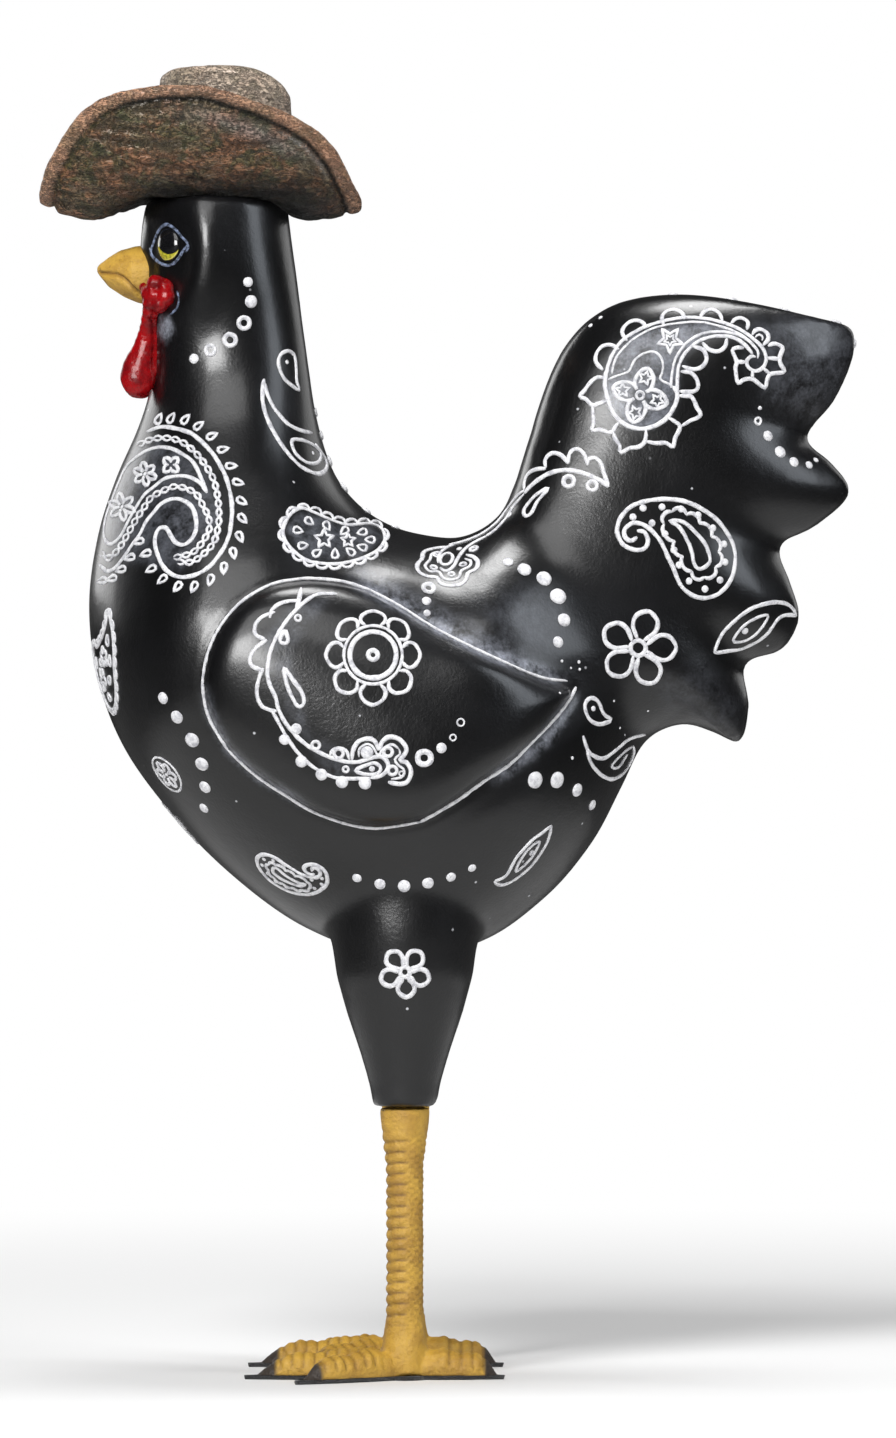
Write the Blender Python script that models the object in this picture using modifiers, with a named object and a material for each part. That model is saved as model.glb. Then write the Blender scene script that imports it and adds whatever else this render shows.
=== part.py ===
"""A rooster figurine in cast resin: a hollow body with wings and a neckerchief's pattern in relief, a hat,
beak, wattles, eyes and legs.

The rooster looks along -X with its left side towards -Y, and stands on Z = 0 with its box centred on the
origin. Sizes are in millimetres here, and become metres where a mesh or an object is made.
"""

import math

import bmesh
import bpy
from mathutils import Matrix, Vector
from mathutils.bvhtree import BVHTree

MM = 0.001
GAP = 0.3  # between two pieces that are glued or seated
BLEED = 2.0  # how far a cutter runs past what it cuts

# Body casting: its side outline as sections, from the head round the breast and belly to the tail's top
# feather. Each section runs from an outer point (breast, belly, tail end) to an inner one (nape, saddle, tail
# front), with its half width, the share of its run where it is widest, and how much its outer end is pinched.
HEAD_TOP = 273.5
HEAD_HALF_WIDTH = 17.5
THROAT_HALF_WIDTH = 16.3
BODY_HALF_WIDTH = 47.5
RUMP_HALF_WIDTH = 29.0
TAIL_HALF_WIDTH = 21.0
TAIL_TIP_X = 95.0
BODY_SECTIONS = [
    # outer x, z          inner x, z      half width               widest  pinch
    ((-70.4, HEAD_TOP), (-37.5, HEAD_TOP), HEAD_HALF_WIDTH, 0.50, 0.0),
    ((-71.6, HEAD_TOP - 8.1), (-36.6, HEAD_TOP - 8.1), HEAD_HALF_WIDTH + 1.0, 0.50, 0.0),
    ((-71.8, HEAD_TOP - 19.8), (-35.2, HEAD_TOP - 18.2), HEAD_HALF_WIDTH + 0.5, 0.50, 0.0),
    ((-69.6, HEAD_TOP - 31.5), (-33.8, HEAD_TOP - 29.1), THROAT_HALF_WIDTH, 0.50, 0.0),
    ((-69.4, HEAD_TOP - 43.1), (-32.4, HEAD_TOP - 39.2), THROAT_HALF_WIDTH + 0.8, 0.50, 0.0),
    ((-72.3, 220.4), (-31.0, 225.0), THROAT_HALF_WIDTH + 3.9, 0.50, 0.0),
    ((-77.4, 208.7), (-28.9, 216.2), BODY_HALF_WIDTH * 0.54, 0.50, 0.0),
    ((-81.6, 195.4), (-25.9, 208.7), BODY_HALF_WIDTH * 0.67, 0.50, 0.0),
    ((-83.7, 179.1), (-21.5, 203.1), BODY_HALF_WIDTH * 0.81, 0.52, 0.0),
    ((-81.8, 162.8), (-16.3, 199.1), BODY_HALF_WIDTH * 0.92, 0.54, 0.0),
    ((-76.2, 147.1), (-10.7, 196.6), BODY_HALF_WIDTH * 0.98, 0.54, 0.0),
    ((-66.5, 132.9), (-5.4, 195.4), BODY_HALF_WIDTH, 0.52, 0.0),
    ((-52.7, 118.2), (-2.3, 194.9), BODY_HALF_WIDTH, 0.50, 0.0),
    ((-34.5, 104.5), (0.0, 194.7), BODY_HALF_WIDTH, 0.50, 0.0),
    ((-13.5, 96.8), (2.1, 194.7), BODY_HALF_WIDTH * 0.98, 0.50, 0.0),
    ((6.3, 99.8), (3.7, 195.1), BODY_HALF_WIDTH * 0.94, 0.48, 0.0),
    ((22.6, 110.8), (5.1, 195.5), BODY_HALF_WIDTH * 0.87, 0.46, 0.0),
    ((33.6, 123.8), (6.5, 196.1), BODY_HALF_WIDTH * 0.78, 0.44, 0.0),
    ((40.6, 136.9), (7.9, 196.8), RUMP_HALF_WIDTH + 3.5, 0.42, 0.0),
    ((46.2, 147.4), (9.3, 197.7), RUMP_HALF_WIDTH, 0.40, 0.1),
]
TAIL_SECTIONS = [
    ((54.6, 151.3), (10.5, 198.7), TAIL_HALF_WIDTH + 5.5, 0.38, 0.2),
    ((62.0, 149.4), (11.7, 199.8), TAIL_HALF_WIDTH + 4.0, 0.38, 0.1),
    ((68.2, 147.2), (12.6, 201.0), TAIL_HALF_WIDTH + 3.0, 0.38, 0.0),
    ((70.2, 155.8), (13.8, 203.1), TAIL_HALF_WIDTH + 2.0, 0.37, 0.2),
    ((69.3, 165.3), (14.9, 205.9), TAIL_HALF_WIDTH + 1.5, 0.36, 0.5),
    ((77.9, 168.6), (15.9, 208.2), TAIL_HALF_WIDTH + 1.0, 0.36, 0.2),
    ((82.0, 176.1), (16.6, 210.6), TAIL_HALF_WIDTH, 0.36, 0.0),
    ((79.9, 184.4), (17.5, 213.4), TAIL_HALF_WIDTH - 0.5, 0.36, 0.2),
    ((77.4, 192.8), (18.4, 216.4), TAIL_HALF_WIDTH - 1.0, 0.35, 0.5),
    ((85.6, 197.3), (19.4, 219.4), TAIL_HALF_WIDTH - 1.5, 0.35, 0.2),
    ((93.7, 205.0), (20.3, 222.7), TAIL_HALF_WIDTH - 2.0, 0.35, 0.0),
    ((89.7, 212.0), (21.5, 226.4), TAIL_HALF_WIDTH - 2.5, 0.35, 0.2),
    ((83.7, 218.0), (22.9, 230.4), TAIL_HALF_WIDTH - 3.0, 0.35, 0.5),
    ((89.8, 226.2), (25.0, 235.3), TAIL_HALF_WIDTH - 3.5, 0.36, 0.2),
    ((93.7, 234.3), (28.0, 240.4), TAIL_HALF_WIDTH - 4.5, 0.40, 0.0),
    ((TAIL_TIP_X, 239.5), (33.1, 245.8), TAIL_HALF_WIDTH - 6.0, 0.42, 0.0),
    ((TAIL_TIP_X, 241.3), (41.3, 250.0), TAIL_HALF_WIDTH - 8.0, 0.45, 0.0),
    ((TAIL_TIP_X - 0.3, 242.7), (54.1, 251.5), TAIL_HALF_WIDTH - 10.5, 0.45, 0.0),
    ((TAIL_TIP_X - 0.9, 243.7), (69.3, 249.7), TAIL_HALF_WIDTH - 13.0, 0.45, 0.0),
    ((TAIL_TIP_X - 1.8, 244.4), (82.1, 246.7), TAIL_HALF_WIDTH - 16.0, 0.50, 0.0),
]
SECTIONS = BODY_SECTIONS + TAIL_SECTIONS
BODY_END = len(BODY_SECTIONS) - 1  # the section where the rump becomes the tail
RINGS_PER_BODY_SECTION = 2
RINGS_PER_TAIL_SECTION = 1
RING_STEPS = 12  # facets on each side of a ring
PINCH_START = 0.55  # share of a section's run where a pinch begins
WALL = 5.0  # of the hollow casting
CORE_END = BODY_END  # the hollow stops at this section, and the tail beyond it is solid resin
CORE_RINGS_PER_SECTION = 1
CORE_STEPS = 8

# Wings, as relief on the flanks: the outline seen from the side, its pointed end last
WING_RELIEF = 3.0
WING_ROOT = 6.0  # from the middle plane to the plate's inner face, which the hollow then cuts away
WING_OUTLINE = [
    (2.8, 170.7),
    (-22.0, 184.0),
    (-41.5, 183.7),
    (-57.1, 163.0),
    (-48.0, 142.0),
    (-18.2, 127.1),
    (7.5, 137.3),
    (29.6, 159.3),
]

# Raised lines and dots of a neckerchief's pattern, alike on both flanks. Places are X and Z from the side.
LINE_RELIEF = 0.5
LINE_HALF_WIDTH = 0.5  # where a line leaves the skin
LINE_ROOT = 0.5  # how deep a line is rooted in the casting
DOT_RELIEF = 0.6
DOT_ROOT = 0.2
DOT_SIDES = 6
LINES = {
    "breast paisley, from its top round its curl to its tip": [
        (-69.8, 219.1),
        (-64.3, 219.9),
        (-59.1, 218.3),
        (-54.8, 214.3),
        (-51.5, 209.1),
        (-49.6, 202.8),
        (-50.1, 195.6),
        (-53.0, 189.3),
        (-57.8, 185.4),
        (-63.2, 185.7),
        (-66.8, 190.6),
        (-66.9, 195.7),
        (-64.3, 195.7),
        (-61.9, 192.8),
        (-58.9, 193.5),
        (-57.8, 197.0),
        (-59.2, 201.7),
        (-63.5, 203.1),
        (-67.4, 200.4),
        (-70.9, 195.1),
        (-78.8, 186.9),
    ],
    "drop inside the breast paisley": [
        (-59.6, 208.0),
        (-65.4, 207.8),
        (-69.9, 204.4),
        (-73.6, 198.4),
        (-77.8, 193.0),
        (-79.5, 194.5),
        (-79.4, 199.4),
        (-76.4, 207.5),
        (-71.1, 213.9),
        (-64.4, 215.1),
        (-58.3, 211.0),
        (-54.6, 204.4),
    ],
    "long leaf on the neck": [
        (-42.6, 231.6),
        (-42.8, 225.3),
        (-40.7, 219.5),
        (-36.3, 213.0),
        (-32.1, 209.8),
        (-28.5, 210.0),
        (-29.0, 213.9),
        (-32.7, 218.6),
        (-37.5, 221.2),
        (-40.3, 225.4),
    ],
    "crescent on the wing": [
        (-25.3, 181.0),
        (-30.1, 180.8),
        (-35.1, 176.9),
        (-39.3, 170.5),
        (-40.9, 163.2),
        (-39.1, 155.9),
        (-34.6, 149.6),
        (-27.8, 144.3),
        (-20.0, 141.7),
    ],
    "stalk from the saddle up to the tail": [
        (8.2, 195.9),
        (14.1, 200.7),
        (17.6, 205.1),
        (21.3, 208.5),
        (26.3, 210.3),
        (31.9, 209.3),
        (36.7, 206.3),
    ],
    "points round the large paisley on the tail": [
        (33.9, 230.2),
        (31.2, 227.5),
        (33.5, 225.1),
        (33.3, 219.5),
        (37.7, 218.8),
        (40.0, 213.9),
        (45.3, 216.7),
        (52.0, 215.6),
        (53.6, 220.2),
        (58.5, 223.1),
        (55.7, 227.0),
    ],
    "curled paisley on the tail, from inside its curl": [
        (42.7, 197.7),
        (47.6, 195.4),
        (50.8, 189.9),
        (53.6, 183.7),
        (58.7, 180.5),
        (63.8, 182.6),
        (66.5, 188.9),
        (64.7, 195.6),
        (58.3, 201.3),
        (49.9, 203.3),
        (42.5, 201.7),
        (39.2, 197.7),
        (40.4, 192.9),
        (44.5, 191.7),
    ],
    "leaf at the tail's edge": [
        (61.7, 167.8),
        (64.5, 173.4),
        (69.3, 177.5),
        (73.0, 179.3),
        (76.2, 178.6),
        (76.4, 175.4),
        (73.6, 171.8),
        (68.8, 169.0),
        (64.9, 168.6),
    ],
}
LOOPS = {
    "paisley on the shoulder": [
        (-37.8, 195.8),
        (-36.3, 199.6),
        (-32.7, 200.6),
        (-26.3, 198.2),
        (-19.9, 197.8),
        (-15.1, 195.0),
        (-16.7, 190.8),
        (-25.7, 188.0),
        (-31.6, 188.6),
        (-36.0, 191.4),
    ],
    "large paisley on the tail, whose end bends over": [
        (36.5, 227.4),
        (37.0, 233.0),
        (39.6, 237.9),
        (43.5, 241.9),
        (49.3, 244.6),
        (56.5, 245.1),
        (63.4, 244.0),
        (69.0, 241.2),
        (72.7, 237.3),
        (71.2, 233.6),
        (66.4, 239.4),
        (62.4, 241.2),
        (58.5, 240.7),
        (54.6, 237.6),
        (52.5, 232.7),
        (52.0, 226.0),
        (49.0, 221.1),
        (44.4, 219.7),
        (39.7, 221.1),
    ],
}
DAISY = (-17.1, 167.1)
DAISY_RING_RADIUS = 5.9
DAISY_RING_SIDES = 8
BLOSSOM = (43.9, 169.1)
FLOWERS = [
    # x, z, petals, radius at a petal's end and between two petals
    (*DAISY, 8, 11.1, 8.4),
    (*BLOSSOM, 5, 8.5, 4.4),
]
PETAL_SHARE = 0.6  # how much of the way round from one petal to the next its end takes
DOTS = [
    # x, z, radius: on the neck, the breast, the rump and the tail's edge, below the tail and on the wing
    (-46.3, HEAD_TOP - 19.9, 1.2),
    (-45.6, HEAD_TOP - 24.4, 1.5),
    (-47.2, HEAD_TOP - 29.4, 1.9),
    (-50.4, HEAD_TOP - 33.3, 1.9),
    (-55.0, HEAD_TOP - 35.7, 1.6),
    (-58.8, HEAD_TOP - 37.6, 1.2),
    (-65.3, 157.3, 1.4),
    (-62.0, 153.0, 1.6),
    (-58.6, 147.7, 1.8),
    (-56.4, 142.2, 1.8),
    (-55.8, 136.9, 1.6),
    (-56.2, 132.0, 1.3),
    (13.8, 188.6, 1.3),
    (17.5, 186.8, 1.7),
    (22.1, 184.7, 2.0),
    (25.3, 180.6, 2.1),
    (26.7, 175.3, 1.7),
    (25.3, 170.2, 1.4),
    (72.0, 221.7, 1.1),
    (74.3, 218.2, 1.3),
    (77.0, 214.4, 1.5),
    (80.2, 212.1, 1.3),
    (19.9, 138.5, 2.0),
    (25.0, 138.5, 2.0),
    (29.7, 136.2, 1.6),
    (-5.5, 143.6, 2.2),
    (-1.6, 145.9, 1.3),
    (44.4, 227.4, 1.4),
    (*DAISY, 1.7),
    (*BLOSSOM, 1.8),
]

# Legs: a shank with a foot of three front toes and a back toe. A steel rod runs up through it into the thigh.
LEG_SPACING = 19.0  # from the middle plane to each leg's axis
LEG_X = -10.0
LEG_LENGTH = 63.0  # from the ground to the thigh's end
SHANK_RADIUS = 4.2
COLLAR_RADIUS = 5.8  # of the shank where it meets the thigh
SPIGOT_RADIUS = 3.6
SPIGOT_LENGTH = 8.0
ANKLE_HEIGHT = 7.5
TOE_RADIUS = 4.0
MIDDLE_TOE_LENGTH = 37.0
SIDE_TOE_LENGTH = 30.0
BACK_TOE_LENGTH = 23.0
TOE_SPREAD = 34.0  # degrees between two front toes
TOE_PROFILE = [
    # share of the toe's length, share of its radius
    (0.0, 1.0),
    (0.22, 0.92),
    (0.42, 1.04),
    (0.56, 0.86),
    (0.7, 0.9),
    (0.84, 0.55),
    (1.0, 0.14),
]
ROD_RADIUS = 1.5
ROD_START = 3.0  # above the ground
ROD_EMBED = 34.0  # how far the rod runs up past the thigh's end
PAD_THICKNESS = 1.0

# Thighs, cast with the body, from the leg up into the belly
THIGH_SINK = 30.0  # how far they run up past the belly's lowest point
THIGH_PROFILE = [
    # share of the height, radius past the shank's collar
    (0.0, 1.6),
    (0.08, 2.4),
    (0.2, 4.6),
    (0.34, 7.6),
    (0.5, 10.4),
    (0.66, 11.8),
    (0.82, 11.0),
    (1.0, 7.5),
]

# Eyes: glossy beads in sockets. Their place is a section's number and a share of its run.
EYE_RADIUS = 4.7
EYE_DEPTH = 2.6  # half the bead's thickness
EYE_SINK = 1.1  # how far the bead's centre lies inside the skin
EYE_SECTION = 1.24
EYE_SHARE = 0.82

# Beak, glued to the front of the head
BEAK_SECTION = 1.78
BEAK_LENGTH = 10.2
BEAK_HEIGHT = 14.0
BEAK_WIDTH = 13.0
BEAK_ROOT = 5.0  # how far the root runs into the head before the skin cuts it off
BEAK_RISE = 1.4  # of the tip over the middle of the root
BEAK_PROFILE = [
    # share of the length, share of the height and width
    (0.0, 1.0),
    (0.3, 0.86),
    (0.6, 0.62),
    (0.82, 0.38),
    (0.95, 0.18),
    (1.0, 0.06),
]

# Wattles: a knob on each cheek beside the beak and a lobe that hangs before the throat.
# A point is measured from the beak's root: back along X, out from the beak's side, and down.
WATTLE_KNOB_RADIUS = 4.3
WATTLE_STEM_RADIUS = 2.6
WATTLE_LOBE_RADIUS = 5.0
WATTLE_POINTS = [
    # back, out, down, radius
    (4.5, 6.3, 0.2, WATTLE_KNOB_RADIUS * 0.45),
    (4.5, 6.3, 1.8, WATTLE_KNOB_RADIUS * 0.8),
    (4.5, 6.3, 4.4, WATTLE_KNOB_RADIUS),
    (4.4, 6.0, 7.2, WATTLE_KNOB_RADIUS * 0.84),
    (3.2, 4.6, 10.0, WATTLE_STEM_RADIUS * 1.1),
    (2.2, 3.2, 13.4, WATTLE_STEM_RADIUS),
    (1.4, 2.0, 17.0, WATTLE_STEM_RADIUS * 1.2),
    (0.5, 1.0, 21.0, WATTLE_LOBE_RADIUS * 0.8),
    (-0.9, 0.4, 24.8, WATTLE_LOBE_RADIUS),
    (-0.5, 0.2, 27.6, WATTLE_LOBE_RADIUS * 0.8),
    (-0.4, 0.2, 28.9, WATTLE_LOBE_RADIUS * 0.4),
]
WATTLE_FLATNESS = 0.82  # its thickness across, as a share of its depth

# Hat: a seat on the head, a brim that curls up at the sides, a low crown and a boss in the head's opening
HAT_X = -57.7  # the middle of the brim
BRIM_HALF_LENGTH = 37.0
BRIM_HALF_WIDTH = 28.0
BRIM_THICKNESS = 2.6
BRIM_SEAT_LENGTH = 12.5  # half the length of the flat part on the head
BRIM_SEAT_WIDTH = 12.0
BRIM_RISE = 24.2  # from the seat to the rim at the sides
BRIM_DROOP = 5.2  # of the front and back
RIM_LIFT = 0.3  # the share of the droop that the front and back rims get back
RIM_ROUND = 0.12  # how far round from its ends the rim's climb is eased
RIM_ARCH_FRONT = 0.6  # below 1 the rim climbs early from its end, above 1 late
RIM_ARCH_BACK = 1.0
CROWN_HEIGHT = 31.5  # above the head
CROWN_X = -52.0
CROWN_HALF_LENGTH = 15.6
CROWN_HALF_WIDTH = 13.2
CROWN_PROFILE = [
    # share of the height, shares of the half length and half width, shift along X
    (0.04, 1.04, 1.04, 0.0),
    (0.7, 1.0, 1.0, 0.0),
    (0.8, 0.955, 0.95, -0.5),
    (0.87, 0.87, 0.86, -1.5),
    (0.925, 0.74, 0.72, -2.6),
    (0.975, 0.54, 0.5, -2.4),
    (1.0, 0.28, 0.25, -2.4),
]
BOSS_DEPTH = 5.0

COLOURS = {
    "black_resin": ((0.012, 0.012, 0.014), 0.36, 0.0),
    "brown_resin": ((0.16, 0.09, 0.055), 0.62, 0.0),
    "yellow_resin": ((0.58, 0.36, 0.07), 0.5, 0.0),
    "red_resin": ((0.5, 0.008, 0.008), 0.22, 0.0),
    "eye_gloss": ((0.01, 0.01, 0.01), 0.08, 0.0),
    "steel": ((0.55, 0.55, 0.56), 0.35, 1.0),
    "felt": ((0.02, 0.02, 0.02), 0.95, 0.0),
}
SIDES = (("left", -1), ("right", 1))


def material(name):
    found = bpy.data.materials.get(name)
    if found:
        return found
    colour, roughness, metallic = COLOURS[name]
    made = bpy.data.materials.new(name)
    made.use_nodes = True
    shader = made.node_tree.nodes["Principled BSDF"]
    shader.inputs["Base Color"].default_value = (*colour, 1)
    shader.inputs["Roughness"].default_value = roughness
    shader.inputs["Metallic"].default_value = metallic
    made.diffuse_color = (*colour, 1)
    return made


def collection(name):
    made = bpy.data.collections.new(name)
    bpy.context.scene.collection.children.link(made)
    return made


def new_object(name, build, at):
    """A mesh object at a place in millimetres, whose geometry the build function adds round its origin."""
    bm = bmesh.new()
    build(bm)
    bmesh.ops.recalc_face_normals(bm, faces=bm.faces)
    bmesh.ops.transform(bm, matrix=Matrix.Scale(MM, 4), verts=bm.verts)
    mesh = bpy.data.meshes.new(name)
    bm.to_mesh(mesh)
    bm.free()
    obj = bpy.data.objects.new(name, mesh)
    obj.location = Vector(at) * MM
    return obj


def as_cutter(obj):
    helpers.objects.link(obj)
    obj.hide_render = True
    obj.display_type = "WIRE"
    return obj


def as_part(obj, finish):
    parts.objects.link(obj)
    obj.parent = figurine
    obj.data.materials.append(material(finish))
    if obj.data.polygons:
        obj.data.shade_smooth()
        obj.data.set_sharp_from_angle(angle=math.radians(40))
    return obj


def cutter(name, build, at=(0, 0, 0)):
    return as_cutter(new_object(name, build, at))


def part(name, build, finish, at=(0, 0, 0)):
    return as_part(new_object(name, build, at), finish)


def boolean(obj, operation, other, solver="EXACT"):
    modifier = obj.modifiers.new(f"{operation.lower()} {other.name}", "BOOLEAN")
    modifier.operation = operation
    modifier.object = other
    modifier.solver = solver


def turned(obj, steps=24):
    """Turns an object's profile about its own Z axis."""
    screw = obj.modifiers.new("turn", "SCREW")
    screw.axis = "Z"
    screw.steps = screw.render_steps = steps
    screw.use_merge_vertices = True
    screw.merge_threshold = 0.00001
    return obj


def profile(points):
    """A build function for the outline of a turned piece: radius and height, from its top to its bottom."""

    def build(bm):
        line = [bm.verts.new((radius, 0, z)) for radius, z in points]
        for a, b in zip(line, line[1:]):
            bm.edges.new((a, b))

    return build


def rod_shape(bm, radius, low, high, segments=16):
    """An upright round bar on the object's axis."""
    middle = Matrix.Translation((0, 0, (low + high) / 2))
    bmesh.ops.create_cone(
        bm, cap_ends=True, segments=segments, radius1=radius, radius2=radius, depth=high - low, matrix=middle
    )


def tube(name, points, radii, at, flatness=1.0):
    """A swelling tube along a curve, as a mesh object. Flatness thins it across Y about its own origin."""
    curve = bpy.data.curves.new(name, "CURVE")
    curve.dimensions = "3D"
    curve.bevel_depth = MM
    curve.bevel_resolution = 2
    curve.resolution_u = 2
    curve.use_fill_caps = True
    line = curve.splines.new("BEZIER")
    line.bezier_points.add(len(points) - 1)
    for point, place, radius in zip(line.bezier_points, points, radii):
        point.co = Vector(place) * MM
        point.radius = radius
        point.handle_left_type = point.handle_right_type = "AUTO"
    guide = bpy.data.objects.new(f"{name} guide", curve)
    guide.location = Vector(at) * MM
    obj = mesh_from(guide, name)
    for vert in obj.data.vertices:
        vert.co.y *= flatness
    return obj


def mesh_from(guide, name):
    """A curve object's shape as a mesh object in its place, with its caps joined."""
    helpers.objects.link(guide)
    bpy.context.view_layer.update()
    evaluated = guide.evaluated_get(bpy.context.evaluated_depsgraph_get())
    mesh = bpy.data.meshes.new_from_object(evaluated)
    bm = bmesh.new()
    bm.from_mesh(mesh)
    bmesh.ops.remove_doubles(bm, verts=bm.verts, dist=1e-6)
    bmesh.ops.recalc_face_normals(bm, faces=bm.faces)
    bm.to_mesh(mesh)
    bm.free()
    made = bpy.data.objects.new(name, mesh)
    made.matrix_world = guide.matrix_world
    bpy.data.objects.remove(guide)
    return made


def skin_rings(bm, rings, closed=False):
    """Joins rings of equal count into one solid, with flat ends or, when closed, round to its first ring."""
    loops = [[bm.verts.new(point) for point in ring] for ring in rings]
    count = len(loops[0])
    for low, high in zip(loops, loops[1:] + loops[:1] * closed):
        for i in range(count):
            j = (i + 1) % count
            bm.faces.new((low[i], low[j], high[j], high[i]))
    if not closed:
        bm.faces.new(loops[0][::-1])
        bm.faces.new(loops[-1])


def oval(centre, across, up, count=16):
    """A ring of points round a centre, on two half axes."""
    centre, across, up = Vector(centre), Vector(across), Vector(up)
    turns = [2 * math.pi * i / count for i in range(count)]
    return [centre + across * math.cos(a) + up * math.sin(a) for a in turns]


def spline(values, place):
    """A Catmull-Rom curve through equally spaced numbers or points."""
    last = len(values) - 1
    index = min(max(int(math.floor(place)), 0), last - 1)
    t = place - index
    a, b, c, d = (values[min(max(index + k, 0), last)] for k in (-1, 0, 1, 2))
    if isinstance(b, tuple):
        return Vector([spline([p, q, r, s], 1 + t) for p, q, r, s in zip(a, b, c, d)])
    return 0.5 * (2 * b + (c - a) * t + (2 * a - 5 * b + 4 * c - d) * t**2 + (3 * b - a - 3 * c + d) * t**3)


OUTER, INNER, HALF_WIDTHS, WIDEST, PINCHES = (list(column) for column in zip(*SECTIONS))


def skin_point(place, share, grow=0.0):
    """The point on the +Y skin at a section's place and a share of its run, moved out by grow."""
    outer, inner = spline(OUTER, place), spline(INNER, place)
    along = (outer - inner).normalized()
    start = inner - along * grow
    run = (outer - inner).length + 2 * grow
    even = share ** (math.log(0.5) / math.log(spline(WIDEST, place)))
    width = (spline(HALF_WIDTHS, place) + grow) * math.sqrt(max(4 * even * (1 - even), 0))
    pinched = max(share - PINCH_START, 0) / (1 - PINCH_START)
    width *= 1 - max(spline(PINCHES, place), 0) * pinched
    at = start + along * run * share
    return Vector((at.x, width, at.y))


def skin_normal(place, share):
    """The outward normal of the +Y skin."""
    step = 0.02
    along = skin_point(place, share + step) - skin_point(place, share - step)
    around = skin_point(place + step, share) - skin_point(place - step, share)
    normal = along.cross(around).normalized()
    return normal if normal.y > 0 else -normal


def skin_ring(place, grow=0.0, steps=RING_STEPS):
    shares = [0.5 - 0.5 * math.cos(math.pi * i / steps) for i in range(steps + 1)]
    near = [skin_point(place, share, grow) for share in shares]
    far = [Vector((p.x, -p.y, p.z)) for p in near[-2:0:-1]]
    return near + far


def body_rings(grow, start, end, per_section, steps=RING_STEPS):
    """The rings from one section to another."""
    count = (end - start) * per_section
    return [skin_ring(start + i / per_section, grow, steps) for i in range(count + 1)]


def lifted(ring, rise):
    return [p + Vector((0, 0, rise)) for p in ring]


def body_skin(bm, grow=0.0):
    """The body's outer skin, or the same a little larger, with its head end raised as far."""
    rings = body_rings(grow, 0, BODY_END, RINGS_PER_BODY_SECTION)[:-1]
    rings += body_rings(grow, BODY_END, len(SECTIONS) - 1, RINGS_PER_TAIL_SECTION)
    rings[0] = lifted(rings[0], grow)
    skin_rings(bm, rings)


def hollow_core(bm):
    """The space inside the casting, open at the head."""
    rings = body_rings(-WALL, 0, CORE_END, CORE_RINGS_PER_SECTION, CORE_STEPS)
    skin_rings(bm, [lifted(rings[0], BLEED), *rings])


def wing_plate(name, side):
    """A plate of the wing's outline, from inside the flank to past its relief."""
    curve = bpy.data.curves.new(f"{name} wing plate", "CURVE")
    curve.dimensions = "2D"
    curve.fill_mode = "BOTH"
    inside = WING_ROOT
    outside = BODY_HALF_WIDTH + WING_RELIEF + BLEED
    curve.extrude = (outside - inside) / 2 * MM
    curve.resolution_u = 5
    line = curve.splines.new("BEZIER")
    line.bezier_points.add(len(WING_OUTLINE) - 1)
    for point, (x, z) in zip(line.bezier_points, WING_OUTLINE):
        point.co = (x * MM, z * MM, 0)
        point.handle_left_type = point.handle_right_type = "AUTO"
    line.bezier_points[-1].handle_left_type = line.bezier_points[-1].handle_right_type = "VECTOR"
    line.use_cyclic_u = True
    guide = bpy.data.objects.new(f"{name} wing guide", curve)
    guide.rotation_euler.x = math.pi / 2
    guide.location.y = side * (inside + outside) / 2 * MM
    return as_cutter(mesh_from(guide, f"{name} wing plate"))


def flank_spot(surface, x, z, side):
    """A flank's point and normal at a place seen from the side, or the nearest ones past its outline."""
    start = Vector((x, side * 2 * BODY_HALF_WIDTH, z))
    place, normal, *_ = surface.ray_cast(start * MM, Vector((0, -side, 0)))
    if place is None:
        place, normal, *_ = surface.find_nearest(Vector((x, side * WING_ROOT, z)) * MM)
    return place / MM, normal


def add_line(bm, surface, side, points, closed=False):
    """A raised line of three faces along places seen from the side."""
    spots = [flank_spot(surface, x, z, side) for x, z in points]
    count = len(spots)
    spread = LINE_HALF_WIDTH * (LINE_RELIEF + LINE_ROOT) / LINE_RELIEF
    rings = []
    for i, (at, normal) in enumerate(spots):
        before = spots[(i - 1) % count if closed else max(i - 1, 0)]
        after = spots[(i + 1) % count if closed else min(i + 1, count - 1)]
        out = (before[1] + normal + after[1]).normalized()
        across = (after[0] - before[0]).cross(out).normalized() * spread
        foot = at - out * LINE_ROOT
        rings.append([at + out * LINE_RELIEF, foot - across, foot + across])
    skin_rings(bm, rings, closed)


def add_dot(bm, surface, side, x, z, radius):
    """A low point of a few sides on the skin, with another under it."""
    at, normal = flank_spot(surface, x, z, side)
    turn = normal.to_track_quat("Z", "Y").to_matrix().to_4x4()
    size = Matrix.Diagonal((radius, radius, DOT_RELIEF + DOT_ROOT, 1))
    middle = Matrix.Translation(at - normal * DOT_ROOT)
    bmesh.ops.create_uvsphere(bm, u_segments=DOT_SIDES, v_segments=2, radius=1, matrix=middle @ turn @ size)


def petal_line(x, z, petals, reach, valley):
    """The outline of a flower with round petals, the first of them straight up."""
    pitch = 360 / petals
    points = []
    for i in range(petals):
        for turn, radius in ((-PETAL_SHARE / 2, reach), (PETAL_SHARE / 2, reach), (0.5, valley)):
            angle = math.radians(pitch * (i + turn))
            points.append((x + radius * math.sin(angle), z + radius * math.cos(angle)))
    return points


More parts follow.
